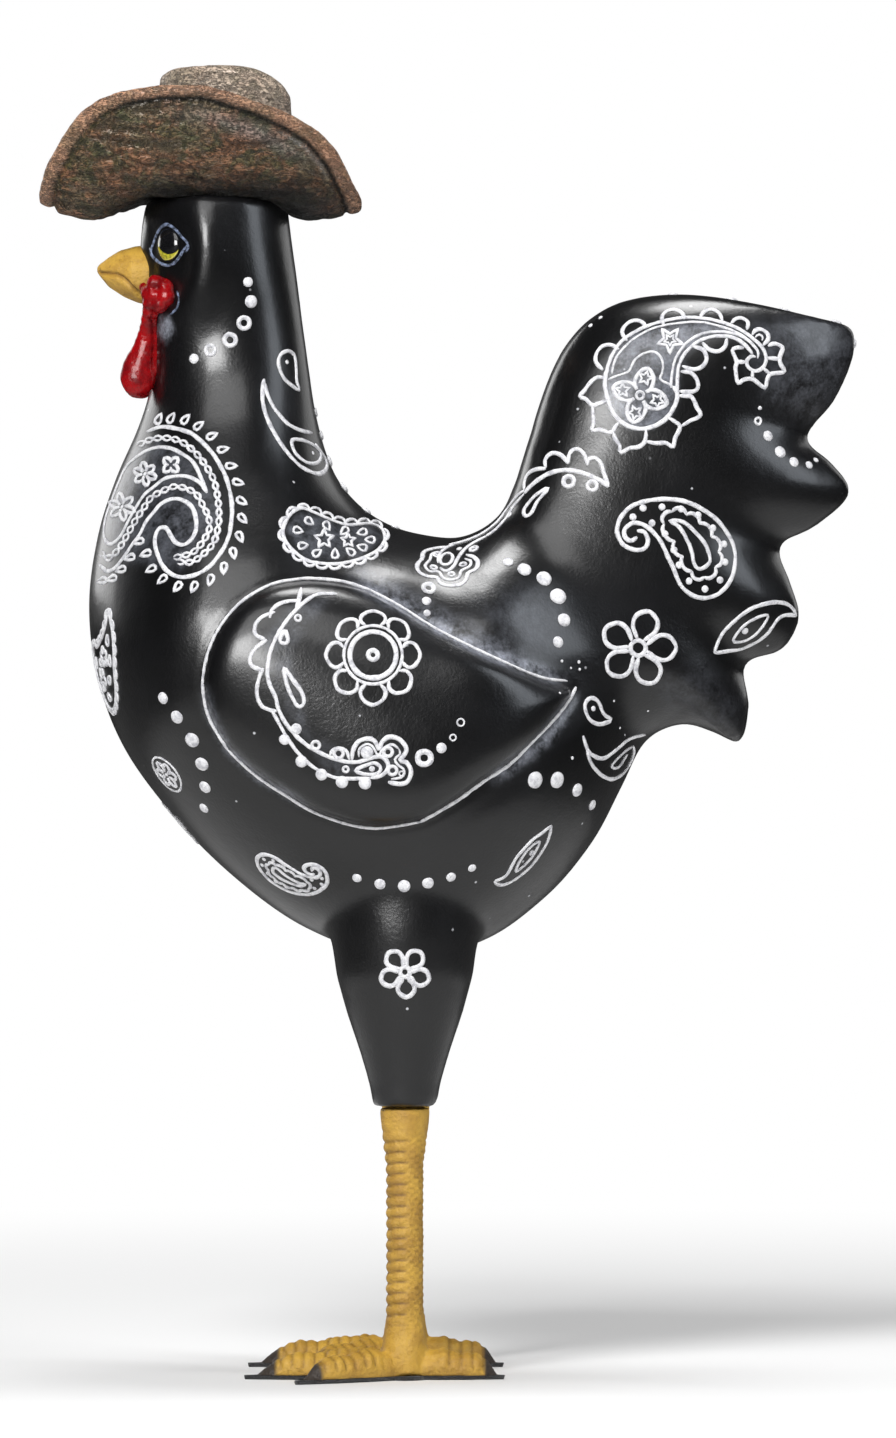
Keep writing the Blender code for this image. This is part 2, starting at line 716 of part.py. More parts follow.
def pattern(bm, surface, side):
    """The raised lines and dots of one flank."""
    for points in LINES.values():
        add_line(bm, surface, side, points)
    for points in LOOPS.values():
        add_line(bm, surface, side, points, True)
    for x, z, petals, reach, valley in FLOWERS:
        add_line(bm, surface, side, petal_line(x, z, petals, reach, valley), True)
    ring = oval((*DAISY, 0), (DAISY_RING_RADIUS, 0, 0), (0, DAISY_RING_RADIUS, 0), DAISY_RING_SIDES)
    add_line(bm, surface, side, [(p.x, p.y) for p in ring], True)
    for x, z, radius in DOTS:
        add_dot(bm, surface, side, x, z, radius)


def body_casting():
    body = part("body_casting", body_skin, "black_resin")
    reach = cutter("wing reach", lambda bm: body_skin(bm, WING_RELIEF))
    belly = min(z for _, z in OUTER)
    thigh_height = belly + THIGH_SINK - LEG_LENGTH
    thigh = [(0, thigh_height)]
    thigh += [(COLLAR_RADIUS + radius, share * thigh_height) for share, radius in reversed(THIGH_PROFILE)]
    for name, side in SIDES:
        plate = wing_plate(name, side)
        boolean(plate, "INTERSECT", reach)
        boolean(body, "UNION", plate)
        foot_of_thigh = (LEG_X, side * LEG_SPACING, LEG_LENGTH)
        boolean(body, "UNION", turned(cutter(f"{name} thigh", profile([*thigh, (0, 0)]), foot_of_thigh)))
    bpy.context.view_layer.update()
    surface = BVHTree.FromObject(body, bpy.context.evaluated_depsgraph_get())
    for name, side in SIDES:
        raised = cutter(f"{name} pattern", lambda bm: pattern(bm, surface, side))
        boolean(body, "UNION", raised, "MANIFOLD")
    boolean(body, "DIFFERENCE", cutter("hollow core", hollow_core))

    wide, narrow = SPIGOT_RADIUS + GAP, ROD_RADIUS + GAP
    rod_top, spigot_top = ROD_EMBED + GAP, SPIGOT_LENGTH + GAP
    bore = [(0, rod_top), (narrow, rod_top), (narrow, spigot_top)]
    bore += [(wide, spigot_top), (wide, -BLEED), (0, -BLEED)]
    for name, side in SIDES:
        boolean(body, "DIFFERENCE", eye_bead(f"{name} eye socket", side, GAP))
        foot_of_thigh = (LEG_X, side * LEG_SPACING, LEG_LENGTH)
        boolean(body, "DIFFERENCE", turned(cutter(f"{name} leg socket", profile(bore), foot_of_thigh)))


def eye_bead(name, side, grow=0.0, finish=None):
    """A flattened bead on the head's skin, as a cutter or, with a finish, as a part."""
    normal = skin_normal(EYE_SECTION, EYE_SHARE)
    centre = skin_point(EYE_SECTION, EYE_SHARE) - normal * EYE_SINK
    centre.y *= side
    normal.y *= side
    size = Matrix.Diagonal((EYE_RADIUS + grow, EYE_RADIUS + grow, EYE_DEPTH + grow, 1))

    def build(bm):
        bmesh.ops.create_uvsphere(bm, u_segments=20, v_segments=12, radius=1, matrix=size)

    obj = part(name, build, finish, centre) if finish else cutter(name, build, centre)
    obj.rotation_euler = normal.to_track_quat("Z", "Y").to_euler()
    return obj


def beak_root():
    root = spline(OUTER, BEAK_SECTION)
    return Vector((root.x, 0, root.y))


def beak(skin):
    def build(bm):
        rings = []
        for along, size in ((-BEAK_ROOT / BEAK_LENGTH, 1.0), *BEAK_PROFILE):
            centre = (-along * BEAK_LENGTH, 0, BEAK_RISE * max(along, 0) ** 1.5)
            rings.append(oval(centre, (0, size * BEAK_WIDTH / 2, 0), (0, 0, size * BEAK_HEIGHT / 2)))
        skin_rings(bm, rings)

    boolean(part("beak", build, "yellow_resin", beak_root()), "DIFFERENCE", skin)


def wattles(skin):
    for name, side in SIDES:
        hang = beak_root() + Vector((0, side * BEAK_WIDTH / 2, 0))
        points = [(back, side * out / WATTLE_FLATNESS, -down) for back, out, down, _ in WATTLE_POINTS]
        radii = [radius for *_, radius in WATTLE_POINTS]
        wattle = tube(f"{name}_wattle", points, radii, hang, WATTLE_FLATNESS)
        boolean(as_part(wattle, "red_resin"), "DIFFERENCE", skin)


def smooth_step(low, high, value):
    t = min(max((value - low) / (high - low), 0), 1)
    return t * t * (3 - 2 * t)


def brim_point(angle, reach):
    """A point half way through the brim, by an angle round the hat and a reach from its seat to its rim."""
    ahead, side = math.cos(angle), abs(math.sin(angle))
    rounded = (math.hypot(side, RIM_ROUND) - RIM_ROUND) / (math.hypot(1, RIM_ROUND) - RIM_ROUND)
    across = math.copysign(side**0.8, math.sin(angle))
    x = ahead * (BRIM_SEAT_LENGTH + (BRIM_HALF_LENGTH - BRIM_SEAT_LENGTH) * reach)
    y = across * (BRIM_SEAT_WIDTH + (BRIM_HALF_WIDTH - BRIM_SEAT_WIDTH) * reach)
    arch = RIM_ARCH_FRONT + (RIM_ARCH_BACK - RIM_ARCH_FRONT) * smooth_step(-1, 1, ahead)
    rise = BRIM_RISE * rounded**arch * reach**2.2
    droop = BRIM_DROOP * smooth_step(0, 0.6, reach) * (1 - RIM_LIFT * smooth_step(0.6, 1, reach))
    return Vector((x, y, BRIM_THICKNESS / 2 + rise - droop * (1 - side**2)))


def hat(skin):
    """The hat, cut by the head that it sits on. Its origin is on the head, under the middle of the brim."""
    seat = Vector((HAT_X, 0, HEAD_TOP + GAP))

    def brim(bm):
        count = 40
        loops = []
        for reach in (0.0, 0.15, 0.35, 0.55, 0.72, 0.87, 1.0):
            loops.append([bm.verts.new(brim_point(2 * math.pi * i / count, reach)) for i in range(count)])
        bm.faces.new(loops[0])
        for near, far in zip(loops, loops[1:]):
            for i in range(count):
                j = (i + 1) % count
                bm.faces.new((near[i], near[j], far[j], far[i]))

    def crown(bm):
        rings = []
        for rise, long, wide, shift in CROWN_PROFILE:
            centre = (CROWN_X - HAT_X + shift, 0, rise * (CROWN_HEIGHT - GAP))
            rings.append(oval(centre, (long * CROWN_HALF_LENGTH, 0, 0), (0, wide * CROWN_HALF_WIDTH, 0), 28))
        skin_rings(bm, rings)

    def boss(bm):
        """It fills the opening that the hollow core leaves in the top of the head."""
        top = skin_ring(0, -WALL - GAP, CORE_STEPS)
        low = [p - Vector((0, 0, BOSS_DEPTH)) for p in top]
        rings = [[p - seat for p in ring] for ring in (low, lifted(top, GAP + BRIM_THICKNESS / 2))]
        skin_rings(bm, rings)

    made = part("hat", brim, "brown_resin", seat)
    solidify = made.modifiers.new("brim thickness", "SOLIDIFY")
    solidify.thickness = BRIM_THICKNESS * MM
    solidify.offset = 0
    boolean(made, "UNION", cutter("hat crown", crown, seat))
    boolean(made, "DIFFERENCE", skin)
    boolean(made, "UNION", cutter("hat boss", boss, seat))


def add_toes(obj, side):
    """Joins the four toes to an object on the ground at the leg's axis."""
    toes = (
        ("middle", MIDDLE_TOE_LENGTH, 0.0),
        ("inner", SIDE_TOE_LENGTH, -TOE_SPREAD),
        ("outer", SIDE_TOE_LENGTH, TOE_SPREAD),
        ("back", BACK_TOE_LENGTH, 180.0),
    )
    for name, length, turn in toes:
        ahead = Vector((-math.cos(math.radians(turn)), side * math.sin(math.radians(turn)), 0))
        radii = [size * TOE_RADIUS for _, size in TOE_PROFILE]
        start = -ahead * SHANK_RADIUS * (0.7 if name == "middle" else 0.4)
        points = [
            start + (ahead * length - start) * share + Vector((0, 0, size * TOE_RADIUS * 0.8))
            for share, size in TOE_PROFILE
        ]
        toe = tube(f"{obj.name} {name} toe", points, radii, obj.location / MM)
        boolean(obj, "UNION", as_cutter(toe))


def floor_slab(bm, low, high):
    reach = 2 * (MIDDLE_TOE_LENGTH + TOE_RADIUS)
    size = Matrix.Diagonal((reach, reach, high - low, 1))
    bmesh.ops.create_cube(bm, size=1, matrix=Matrix.Translation((0, 0, (low + high) / 2)) @ size)


def legs():
    ankle = SHANK_RADIUS * 1.25
    top = LEG_LENGTH - GAP
    shank = [
        (0, LEG_LENGTH + SPIGOT_LENGTH),
        (SPIGOT_RADIUS, LEG_LENGTH + SPIGOT_LENGTH),
        (SPIGOT_RADIUS, top),
        (COLLAR_RADIUS, top),
        (COLLAR_RADIUS * 0.96, top - 3),
        (SHANK_RADIUS, top - 14),
        (SHANK_RADIUS, ANKLE_HEIGHT * 1.9),
        (ankle, ANKLE_HEIGHT),
        (ankle, TOE_RADIUS * 0.5),
        (0, TOE_RADIUS * 0.5),
    ]
    for name, side in SIDES:
        at = (LEG_X, side * LEG_SPACING, 0)
        leg = turned(part(f"{name}_leg", profile(shank), "yellow_resin", at))
        add_toes(leg, side)
        sole = cutter(f"{name} sole", lambda bm: floor_slab(bm, -2 * TOE_RADIUS, PAD_THICKNESS + GAP), at)
        boolean(leg, "DIFFERENCE", sole)
        end = LEG_LENGTH + SPIGOT_LENGTH + BLEED
        bore = cutter(f"{name} bore", lambda bm: rod_shape(bm, ROD_RADIUS + GAP, ROD_START - GAP, end), at)
        boolean(leg, "DIFFERENCE", bore)
        rod_top = LEG_LENGTH + ROD_EMBED
        part(f"{name}_leg_rod", lambda bm: rod_shape(bm, ROD_RADIUS, ROD_START, rod_top), "steel", at)

        heel = (ankle, -TOE_RADIUS, 2 * PAD_THICKNESS)
        pad = part(f"{name}_foot_pad", lambda bm: rod_shape(bm, *heel), "felt", at)
        add_toes(pad, side)
        slab = cutter(f"{name} pad thickness", lambda bm: floor_slab(bm, 0, PAD_THICKNESS), at)
        boolean(pad, "INTERSECT", slab)


for old in list(bpy.data.objects):
    bpy.data.objects.remove(old)
parts = collection("rooster figurine")
helpers = collection("cutters and guides")
figurine = bpy.data.objects.new("rooster figurine", None)
parts.objects.link(figurine)

body_casting()
for side_name, side_sign in SIDES:
    eye_bead(f"{side_name}_eye", side_sign, 0.0, "eye_gloss")
seated = cutter("body with its glue gap", lambda bm: body_skin(bm, GAP))
beak(seated)
wattles(seated)
hat(seated)
legs()
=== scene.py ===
"""A rooster figurine in painted cast resin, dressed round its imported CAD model."""
import math
import bmesh
import bpy
import numpy as np
from mathutils import Matrix, Vector, noise
from mathutils.bvhtree import BVHTree


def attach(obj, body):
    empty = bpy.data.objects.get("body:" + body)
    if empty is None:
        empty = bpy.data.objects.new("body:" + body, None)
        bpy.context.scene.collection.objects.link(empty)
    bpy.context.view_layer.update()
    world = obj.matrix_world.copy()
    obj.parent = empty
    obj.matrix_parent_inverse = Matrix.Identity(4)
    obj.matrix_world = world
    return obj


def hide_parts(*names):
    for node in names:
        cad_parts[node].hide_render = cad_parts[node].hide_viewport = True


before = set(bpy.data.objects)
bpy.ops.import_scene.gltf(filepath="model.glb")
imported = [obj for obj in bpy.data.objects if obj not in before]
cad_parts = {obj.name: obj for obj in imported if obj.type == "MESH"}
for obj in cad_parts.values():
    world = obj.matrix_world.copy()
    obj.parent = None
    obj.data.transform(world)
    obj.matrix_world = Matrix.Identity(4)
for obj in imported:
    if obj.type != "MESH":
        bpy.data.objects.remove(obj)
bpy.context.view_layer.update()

# The studio
# A pale sweep of card on a table, with soft boxes round it and the camera level with
# the middle of the figurine, two metres to its left.
MM = 0.001
PHOTO_WIDTH = 896
PHOTO_HEIGHT = 1438
PIXEL = 0.2332 * MM
GROUND_ROW = 1373
CAMERA_DISTANCE = 2.0
SENSOR = 36.0
CAMERA_HEIGHT = (GROUND_ROW - PHOTO_HEIGHT / 2) * PIXEL
CAMERA_PLACE = Vector((0, -CAMERA_DISTANCE, CAMERA_HEIGHT))


class Wire:
    """What comes out of a material's node. A sum on it adds a Math node to that material."""

    def __init__(self, finish, socket):
        self.finish = finish
        self.socket = socket

    def math(self, operation, *others, swap=False):
        values = (*others, self) if swap else (self, *others)
        return self.finish.node("Math", {"operation": operation}, dict(enumerate(values)))

    def __add__(self, other):
        return self.math("ADD", other)

    def __sub__(self, other):
        return self.math("SUBTRACT", other)

    def __rsub__(self, other):
        return self.math("SUBTRACT", other, swap=True)

    def __mul__(self, other):
        return self.math("MULTIPLY", other)

    __radd__ = __add__
    __rmul__ = __mul__

    def either(self, other):
        """The higher of the two."""
        return self.math("MAXIMUM", other)

    def between(self, low, high):
        """The value eased from 0 to 1 as it runs from low to high."""
        sockets = {"Value": self, "From Min": low, "From Max": high}
        return self.finish.node("MapRange", {"interpolation_type": "SMOOTHSTEP"}, sockets)


class Finish:
    """A material, and the nodes that it is made of."""

    def __init__(self, name, **look):
        self.material = bpy.data.materials.new(name)
        self.material.use_nodes = True
        self.tree = self.material.node_tree
        self.shader = self.tree.nodes["Principled BSDF"]
        self.set(**look)

    def node(self, kind, settings=None, sockets=None, output=0):
        """Adds a node with its settings, and the values or wires of its sockets."""
        made = self.tree.nodes.new(f"ShaderNode{kind}")
        for name, value in (settings or {}).items():
            setattr(made, name, value)
        for name, value in (sockets or {}).items():
            self.join(made.inputs[name], value)
        return Wire(self, made.outputs[output])

    def join(self, socket, value):
        if isinstance(value, Wire):
            self.tree.links.new(value.socket, socket)
        elif isinstance(value, tuple) and len(value) == 3 and socket.type == "RGBA":
            socket.default_value = (*value, 1)
        else:
            socket.default_value = value

    def set(self, **look):
        """Values or wires for the shader's sockets, such as base_color or roughness."""
        for name, value in look.items():
            self.join(self.shader.inputs[name.replace("_", " ").title().replace("Ior", "IOR")], value)

    def place(self):
        """Where a point is on the object, in metres."""
        return self.node("TexCoord", output="Object")

    def stretched(self, scale, turn=(0, 0, 0)):
        """The same places, turned and drawn out along the axes."""
        return self.node("Mapping", {}, {"Vector": self.place(), "Scale": scale, "Rotation": turn})

    def cloudy(self, size, detail=3.0, roughness=0.5, places=None, distortion=0.0):
        """Smooth noise whose blotches are about this size, in metres."""
        sockets = {
            "Vector": places or self.place(),
            "Scale": 1 / size,
            "Detail": detail,
            "Roughness": roughness,
            "Distortion": distortion,
        }
        return self.node("TexNoise", {}, sockets)

    def mix(self, mask, first, second):
        """Two colours mixed by a mask."""
        return self.node("Mix", {"data_type": "RGBA"}, {0: mask, 6: first, 7: second}, 2)

    def bump(self, height, depth):
        """A bump from a height of 0 to 1 that is this deep, in metres."""
        return self.node("Bump", {}, {"Height": height, "Distance": depth})

    def tagged(self, name):
        """An attribute of the mesh."""
        return self.node("Attribute", {"attribute_name": name}, {}, 2)


def deselect():
    bpy.ops.object.select_all(action="DESELECT")


def pick(obj):
    deselect()
    obj.select_set(True)
    bpy.context.view_layer.objects.active = obj


deselect()
bpy.ops.object.camera_add(location=CAMERA_PLACE, rotation=(math.pi / 2, 0, 0))
camera = bpy.context.object
camera.data.sensor_fit = "VERTICAL"
camera.data.sensor_height = SENSOR
camera.data.lens = SENSOR * CAMERA_DISTANCE / (PHOTO_HEIGHT * PIXEL)
camera.data.clip_end = 20
bpy.context.scene.camera = camera
bpy.context.scene.view_settings.view_transform = "Standard"

NEUTRAL = (1, 1, 1)
SKY_BLUE = (0.86, 0.92, 1.0)
# name, place, width and height of the panel, power, what it points at, what it lights, colour
SOFT_BOXES = (
    ("key box", (-0.5, -1.3, 1.35), (0.6, 0.5), 34.0, (0, 0, 0.18), "matt", NEUTRAL),
    ("fill box", (1.3, -0.9, 1.1), (0.5, 0.5), 9.0, (0, 0, 0.15), "matt", NEUTRAL),
    ("strip panel", (-0.74, -2.1, 0.60), (1.0, 0.75), 33.0, (-0.05, 0, 0.26), "gloss", NEUTRAL),
    ("front panel", (-0.24, -1.34, 1.36), (1.5, 0.9), 9.5, (0, 0, 0.18), "gloss", NEUTRAL),
    ("window panel", (0.445, -0.2, 0.43), (0.2, 0.46), 0.75, (0.085, 0, 0.235), "gloss", SKY_BLUE),
    ("left back box", (-1.1, 1.1, 0.7), (0.9, 0.9), 5.0, (0, 0, 0.15), "both", NEUTRAL),
    ("right back box", (1.1, 1.2, 0.7), (0.9, 0.9), 1.8, (0, 0, 0.15), "both", NEUTRAL),
    ("overhead box", (0.1, 0.1, 1.6), (0.5, 0.5), 9.0, (0, 0, 0.15), "both", NEUTRAL),
)
for name, place, (wide, high), power, aim, lit, colour in SOFT_BOXES:
    towards = (Vector(aim) - Vector(place)).to_track_quat("-Z", "Y")
    bpy.ops.object.light_add(type="AREA", location=place, rotation=towards.to_euler())
    box = bpy.context.object
    box.name = name
    box.visible_glossy = lit != "matt"
    box.visible_diffuse = lit != "gloss"
    box.data.shape = "RECTANGLE"
    box.data.size = wide
    box.data.size_y = high
    box.data.energy = power
    box.data.color = colour

WORLD_LIGHT = 0.03
world = bpy.data.worlds.new("white room")
world.use_nodes = True
bpy.context.scene.world = world
sky = world.node_tree.nodes["Background"]
rays = world.node_tree.nodes.new("ShaderNodeLightPath")
brightness = world.node_tree.nodes.new("ShaderNodeMapRange")
brightness.inputs["To Min"].default_value = WORLD_LIGHT
brightness.inputs["To Max"].default_value = 1.0
world.node_tree.links.new(rays.outputs["Is Camera Ray"], brightness.inputs["Value"])
world.node_tree.links.new(brightness.outputs[0], sky.inputs["Strength"])
sky.inputs["Color"].default_value = (1, 1, 1, 1)

FLOOR_SIZE = 12.0
CARD_WHITE = (0.86, 0.86, 0.86)
CARD_IN_GLOSS = (0.45, 0.45, 0.45)
TABLE_IN_GLOSS = (0.05, 0.05, 0.05)
# how far from its middle the card turns to table in reflections, and fades to white in sight
CARD_REACH = (0.22, 0.42)
CARD_FADE = (0.16, 0.7)
bpy.ops.mesh.primitive_plane_add(size=FLOOR_SIZE)
floor = bpy.context.object
floor.name = "floor_card"
card = Finish("floor card", roughness=0.9)
glossy_ray = card.node("LightPath", output="Is Glossy Ray")
camera_ray = card.node("LightPath", output="Is Camera Ray")
from_middle = card.node("VectorMath", {"operation": "LENGTH"}, {0: card.place()}, "Value")
in_gloss = card.mix(from_middle.between(*CARD_REACH), CARD_IN_GLOSS, TABLE_IN_GLOSS)
card.set(base_color=card.mix(glossy_ray, CARD_WHITE, in_gloss))
fade = from_middle.between(*CARD_FADE) * camera_ray
lit_card = Wire(card, card.shader.outputs[0])
glow = card.node("Emission", {}, {"Color": (1, 1, 1, 1), "Strength": 1.0})
blend = card.node("MixShader", {}, {0: fade, 1: lit_card, 2: glow})
card.join(card.tree.nodes["Material Output"].inputs["Surface"], blend)
floor.data.materials.append(card.material)

# The body casting
# A hollow resin casting of the head, neck, body, thighs and tail, painted satin black. The wings stand
# out from its flanks by a few millimetres, and the feathers of the tail are rounded and run into each other.
HEAD_TOP = 273.5
BODY_HALF_WIDTH = 47.5
TAIL_HALF_WIDTH = 21.0
TAIL_TIP_X = 95.0
# outer x, z, inner x, z, half width, share of the run at which it is widest, pinch of the outer end
SECTIONS = [
    (-70.4, HEAD_TOP, -37.5, HEAD_TOP, 17.5, 0.50, 0.0),
    (-71.6, 265.4, -36.6, 265.4, 18.5, 0.50, 0.0),
    (-71.8, 253.7, -35.2, 255.3, 18.0, 0.50, 0.0),
    (-69.6, 242.0, -33.8, 244.4, 16.3, 0.50, 0.0),
    (-69.4, 230.4, -32.4, 234.3, 17.1, 0.50, 0.0),
    (-72.3, 220.4, -31.0, 225.0, 20.2, 0.50, 0.0),
    (-77.4, 208.7, -28.9, 216.2, BODY_HALF_WIDTH * 0.54, 0.50, 0.0),
    (-81.6, 195.4, -25.9, 208.7, BODY_HALF_WIDTH * 0.67, 0.50, 0.0),
    (-83.7, 179.1, -21.5, 203.1, BODY_HALF_WIDTH * 0.81, 0.52, 0.0),
    (-81.8, 162.8, -16.3, 199.1, BODY_HALF_WIDTH * 0.92, 0.54, 0.0),
    (-76.2, 147.1, -10.7, 196.6, BODY_HALF_WIDTH * 0.98, 0.54, 0.0),
    (-66.5, 132.9, -5.4, 195.4, BODY_HALF_WIDTH, 0.52, 0.0),
    (-52.7, 118.2, -2.3, 194.9, BODY_HALF_WIDTH, 0.50, 0.0),
    (-34.5, 104.5, 0.0, 194.7, BODY_HALF_WIDTH, 0.50, 0.0),
    (-13.5, 96.8, 2.1, 194.7, BODY_HALF_WIDTH * 0.98, 0.50, 0.0),
    (6.3, 99.8, 3.7, 195.1, BODY_HALF_WIDTH * 0.94, 0.48, 0.0),
    (22.6, 110.8, 5.1, 195.5, BODY_HALF_WIDTH * 0.87, 0.46, 0.0),
    (33.6, 123.8, 6.5, 196.1, BODY_HALF_WIDTH * 0.78, 0.44, 0.0),
    (40.6, 136.9, 7.9, 196.8, 32.5, 0.42, 0.0),
    (46.2, 147.4, 9.3, 197.7, 29.0, 0.40, 0.1),
    (54.6, 151.3, 10.5, 198.7, TAIL_HALF_WIDTH + 5.5, 0.38, 0.2),
    (62.0, 149.4, 11.7, 199.8, TAIL_HALF_WIDTH + 4.0, 0.38, 0.1),
    (68.2, 147.2, 12.6, 201.0, TAIL_HALF_WIDTH + 3.0, 0.38, 0.0),
    (70.2, 155.8, 13.8, 203.1, TAIL_HALF_WIDTH + 2.0, 0.37, 0.2),
    (69.3, 165.3, 14.9, 205.9, TAIL_HALF_WIDTH + 1.5, 0.36, 0.5),
    (77.9, 168.6, 15.9, 208.2, TAIL_HALF_WIDTH + 1.0, 0.36, 0.2),
    (82.0, 176.1, 16.6, 210.6, TAIL_HALF_WIDTH, 0.36, 0.0),
    (79.9, 184.4, 17.5, 213.4, TAIL_HALF_WIDTH - 0.5, 0.36, 0.2),
    (77.4, 192.8, 18.4, 216.4, TAIL_HALF_WIDTH - 1.0, 0.35, 0.5),
    (85.6, 197.3, 19.4, 219.4, TAIL_HALF_WIDTH - 1.5, 0.35, 0.2),
    (93.7, 205.0, 20.3, 222.7, TAIL_HALF_WIDTH - 2.0, 0.35, 0.0),
    (89.7, 212.0, 21.5, 226.4, TAIL_HALF_WIDTH - 2.5, 0.35, 0.2),
    (83.7, 218.0, 22.9, 230.4, TAIL_HALF_WIDTH - 3.0, 0.35, 0.5),
    (89.8, 226.2, 25.0, 235.3, TAIL_HALF_WIDTH - 3.5, 0.36, 0.2),
    (93.7, 234.3, 28.0, 240.4, TAIL_HALF_WIDTH - 4.5, 0.40, 0.0),
    (TAIL_TIP_X, 239.5, 33.1, 245.8, TAIL_HALF_WIDTH - 6.0, 0.42, 0.0),
    (TAIL_TIP_X, 241.3, 41.3, 250.0, TAIL_HALF_WIDTH - 8.0, 0.45, 0.0),
    (TAIL_TIP_X - 0.3, 242.7, 54.1, 251.5, TAIL_HALF_WIDTH - 10.5, 0.45, 0.0),
    (TAIL_TIP_X - 0.9, 243.7, 69.3, 249.7, TAIL_HALF_WIDTH - 13.0, 0.45, 0.0),
    (TAIL_TIP_X - 1.8, 244.4, 82.1, 246.7, TAIL_HALF_WIDTH - 16.0, 0.50, 0.0),
]
PINCH_START = 0.72
PINCH_DEPTH = 0.35
RINGS_PER_SECTION = 7
POINTS_ROUND = 120
SKIN_VOXEL = 1.15
WING_RELIEF = 3.0
WING_NEARER = 44
LEG_SPACING = 19.0
LEG_X = -10.0
THIGH_END = 63.0
THIGH_TOP = 126.8
THIGH_STEPS = 28
# share of the thigh's height, radius
THIGH_PROFILE = [
    (0.0, 7.4), (0.08, 8.2), (0.2, 10.4), (0.34, 13.4), (0.5, 16.2), (0.66, 17.6), (0.82, 16.8), (1.0, 13.3),
]
# The wing's edge in the photograph's pixels, from its pointed end along the top
WING_EDGE = [
    (575, 690), (540, 677), (500, 660), (460, 641), (430, 625), (400, 606), (370, 590), (345, 582),
    (320, 579), (300, 579), (270, 585), (240, 603), (218, 630), (206, 660), (203, 690), (210, 720),
    (228, 750), (255, 775), (285, 795), (320, 815), (370, 828), (420, 822), (455, 802), (480, 784),
    (510, 764), (535, 743), (555, 720),
]


def curve_at(a, b, c, d, t):
    """A place on the smooth curve from b to c, which the points before and after them bend."""
    bend = 2 * a - 5 * b + 4 * c - d
    twist = 3 * b - a - 3 * c + d
    return 0.5 * (2 * b + (c - a) * t + bend * t**2 + twist * t**3)


def spline(values, place):
    """A smooth curve through equally spaced numbers."""
    last = len(values) - 1
    index = min(max(int(math.floor(place)), 0), last - 1)
    near = [values[min(max(index + k, 0), last)] for k in (-1, 0, 1, 2)]
    return curve_at(*near, place - index)


def eased(low, high, values):
    """0 below low, 1 above high and smooth between, for numbers or arrays."""
    t = np.clip((values - low) / (high - low), 0, 1)
    return t * t * (3 - 2 * t)


def from_photo(px, py, nearer=0.0):
    """A photo pixel as x and z in millimetres, on a plane that is this much nearer to the camera."""
    shrink = 1 - nearer / (CAMERA_DISTANCE / MM)
    x = (px - PHOTO_WIDTH / 2) * PIXEL / MM * shrink
    z = CAMERA_HEIGHT / MM + (PHOTO_HEIGHT / 2 - py) * PIXEL / MM * shrink
    return x, z


STEPS_PER_POINT = 12


def smooth_line(points, step, closed=False):
    """Points at even steps on a smooth curve through the given ones."""
    points = [Vector(p) for p in points]
    count = len(points)
    if count < 3:
        fine = [points[0].lerp(points[-1], i / 8) for i in range(9)]
    else:
        fine = []
        for i in range(count if closed else count - 1):
            around = [i - 1, i, i + 1, i + 2]
            near = [points[k % count if closed else min(max(k, 0), count - 1)] for k in around]
            fine += [curve_at(*near, j / STEPS_PER_POINT) for j in range(STEPS_PER_POINT)]
        fine.append(points[0] if closed else points[-1])
    lengths = [0.0]
    for a, b in zip(fine, fine[1:]):
        lengths.append(lengths[-1] + (b - a).length)
    pieces = max(2, round(lengths[-1] / step))
    spaced = []
    index = 0
    for i in range(pieces + (0 if closed else 1)):
        want = lengths[-1] * i / pieces
        while index < len(fine) - 2 and lengths[index + 1] < want:
            index += 1
        run = max(lengths[index + 1] - lengths[index], 1e-9)
        spaced.append(fine[index].lerp(fine[index + 1], min((want - lengths[index]) / run, 1)))
    return spaced


def inside_depth(x, z, outline):
    """How far points lie inside a closed outline, below 0 outside it."""
    ring = np.array([[p[0], p[1]] for p in outline])
    nearest = np.full(x.shape, 1e9)
    crossings = np.zeros(x.shape, int)
    for (ax, az), (bx, bz) in zip(ring, np.roll(ring, -1, 0)):
        run = max((bx - ax) ** 2 + (bz - az) ** 2, 1e-12)
        t = np.clip(((x - ax) * (bx - ax) + (z - az) * (bz - az)) / run, 0, 1)
        nearest = np.minimum(nearest, np.hypot(x - ax - t * (bx - ax), z - az - t * (bz - az)))
        if az != bz:
            spans = (z < az) != (z < bz)
            crossings += spans & (x < ax + (z - az) * (bx - ax) / (bz - az))
    return np.where(crossings % 2 == 1, nearest, -nearest)


def line_distance(x, z, line):
    """How far points lie from an open line, and how far along it, as a share."""
    nearest = np.full(x.shape, 1e9)
    along = np.zeros(x.shape)
    for i, ((ax, az), (bx, bz)) in enumerate(zip(line, line[1:])):
        run = max((bx - ax) ** 2 + (bz - az) ** 2, 1e-12)
        t = np.clip(((x - ax) * (bx - ax) + (z - az) * (bz - az)) / run, 0, 1)
        away = np.hypot(x - ax - t * (bx - ax), z - az - t * (bz - az))
        along = np.where(away < nearest, (i + t) / (len(line) - 1), along)
        nearest = np.minimum(nearest, away)
    return nearest, along


def mesh_object(name, bm):
    """A new object from a bmesh in millimetres."""
    bmesh.ops.recalc_face_normals(bm, faces=bm.faces)
    bmesh.ops.transform(bm, matrix=Matrix.Scale(MM, 4), verts=bm.verts)
    mesh = bpy.data.meshes.new(name)
    bm.to_mesh(mesh)
    bm.free()
    obj = bpy.data.objects.new(name, mesh)
    bpy.context.scene.collection.objects.link(obj)
    return obj


def turns_round(count):
    """Angles at even steps round a circle."""
    return [2 * math.pi * k / count for k in range(count)]


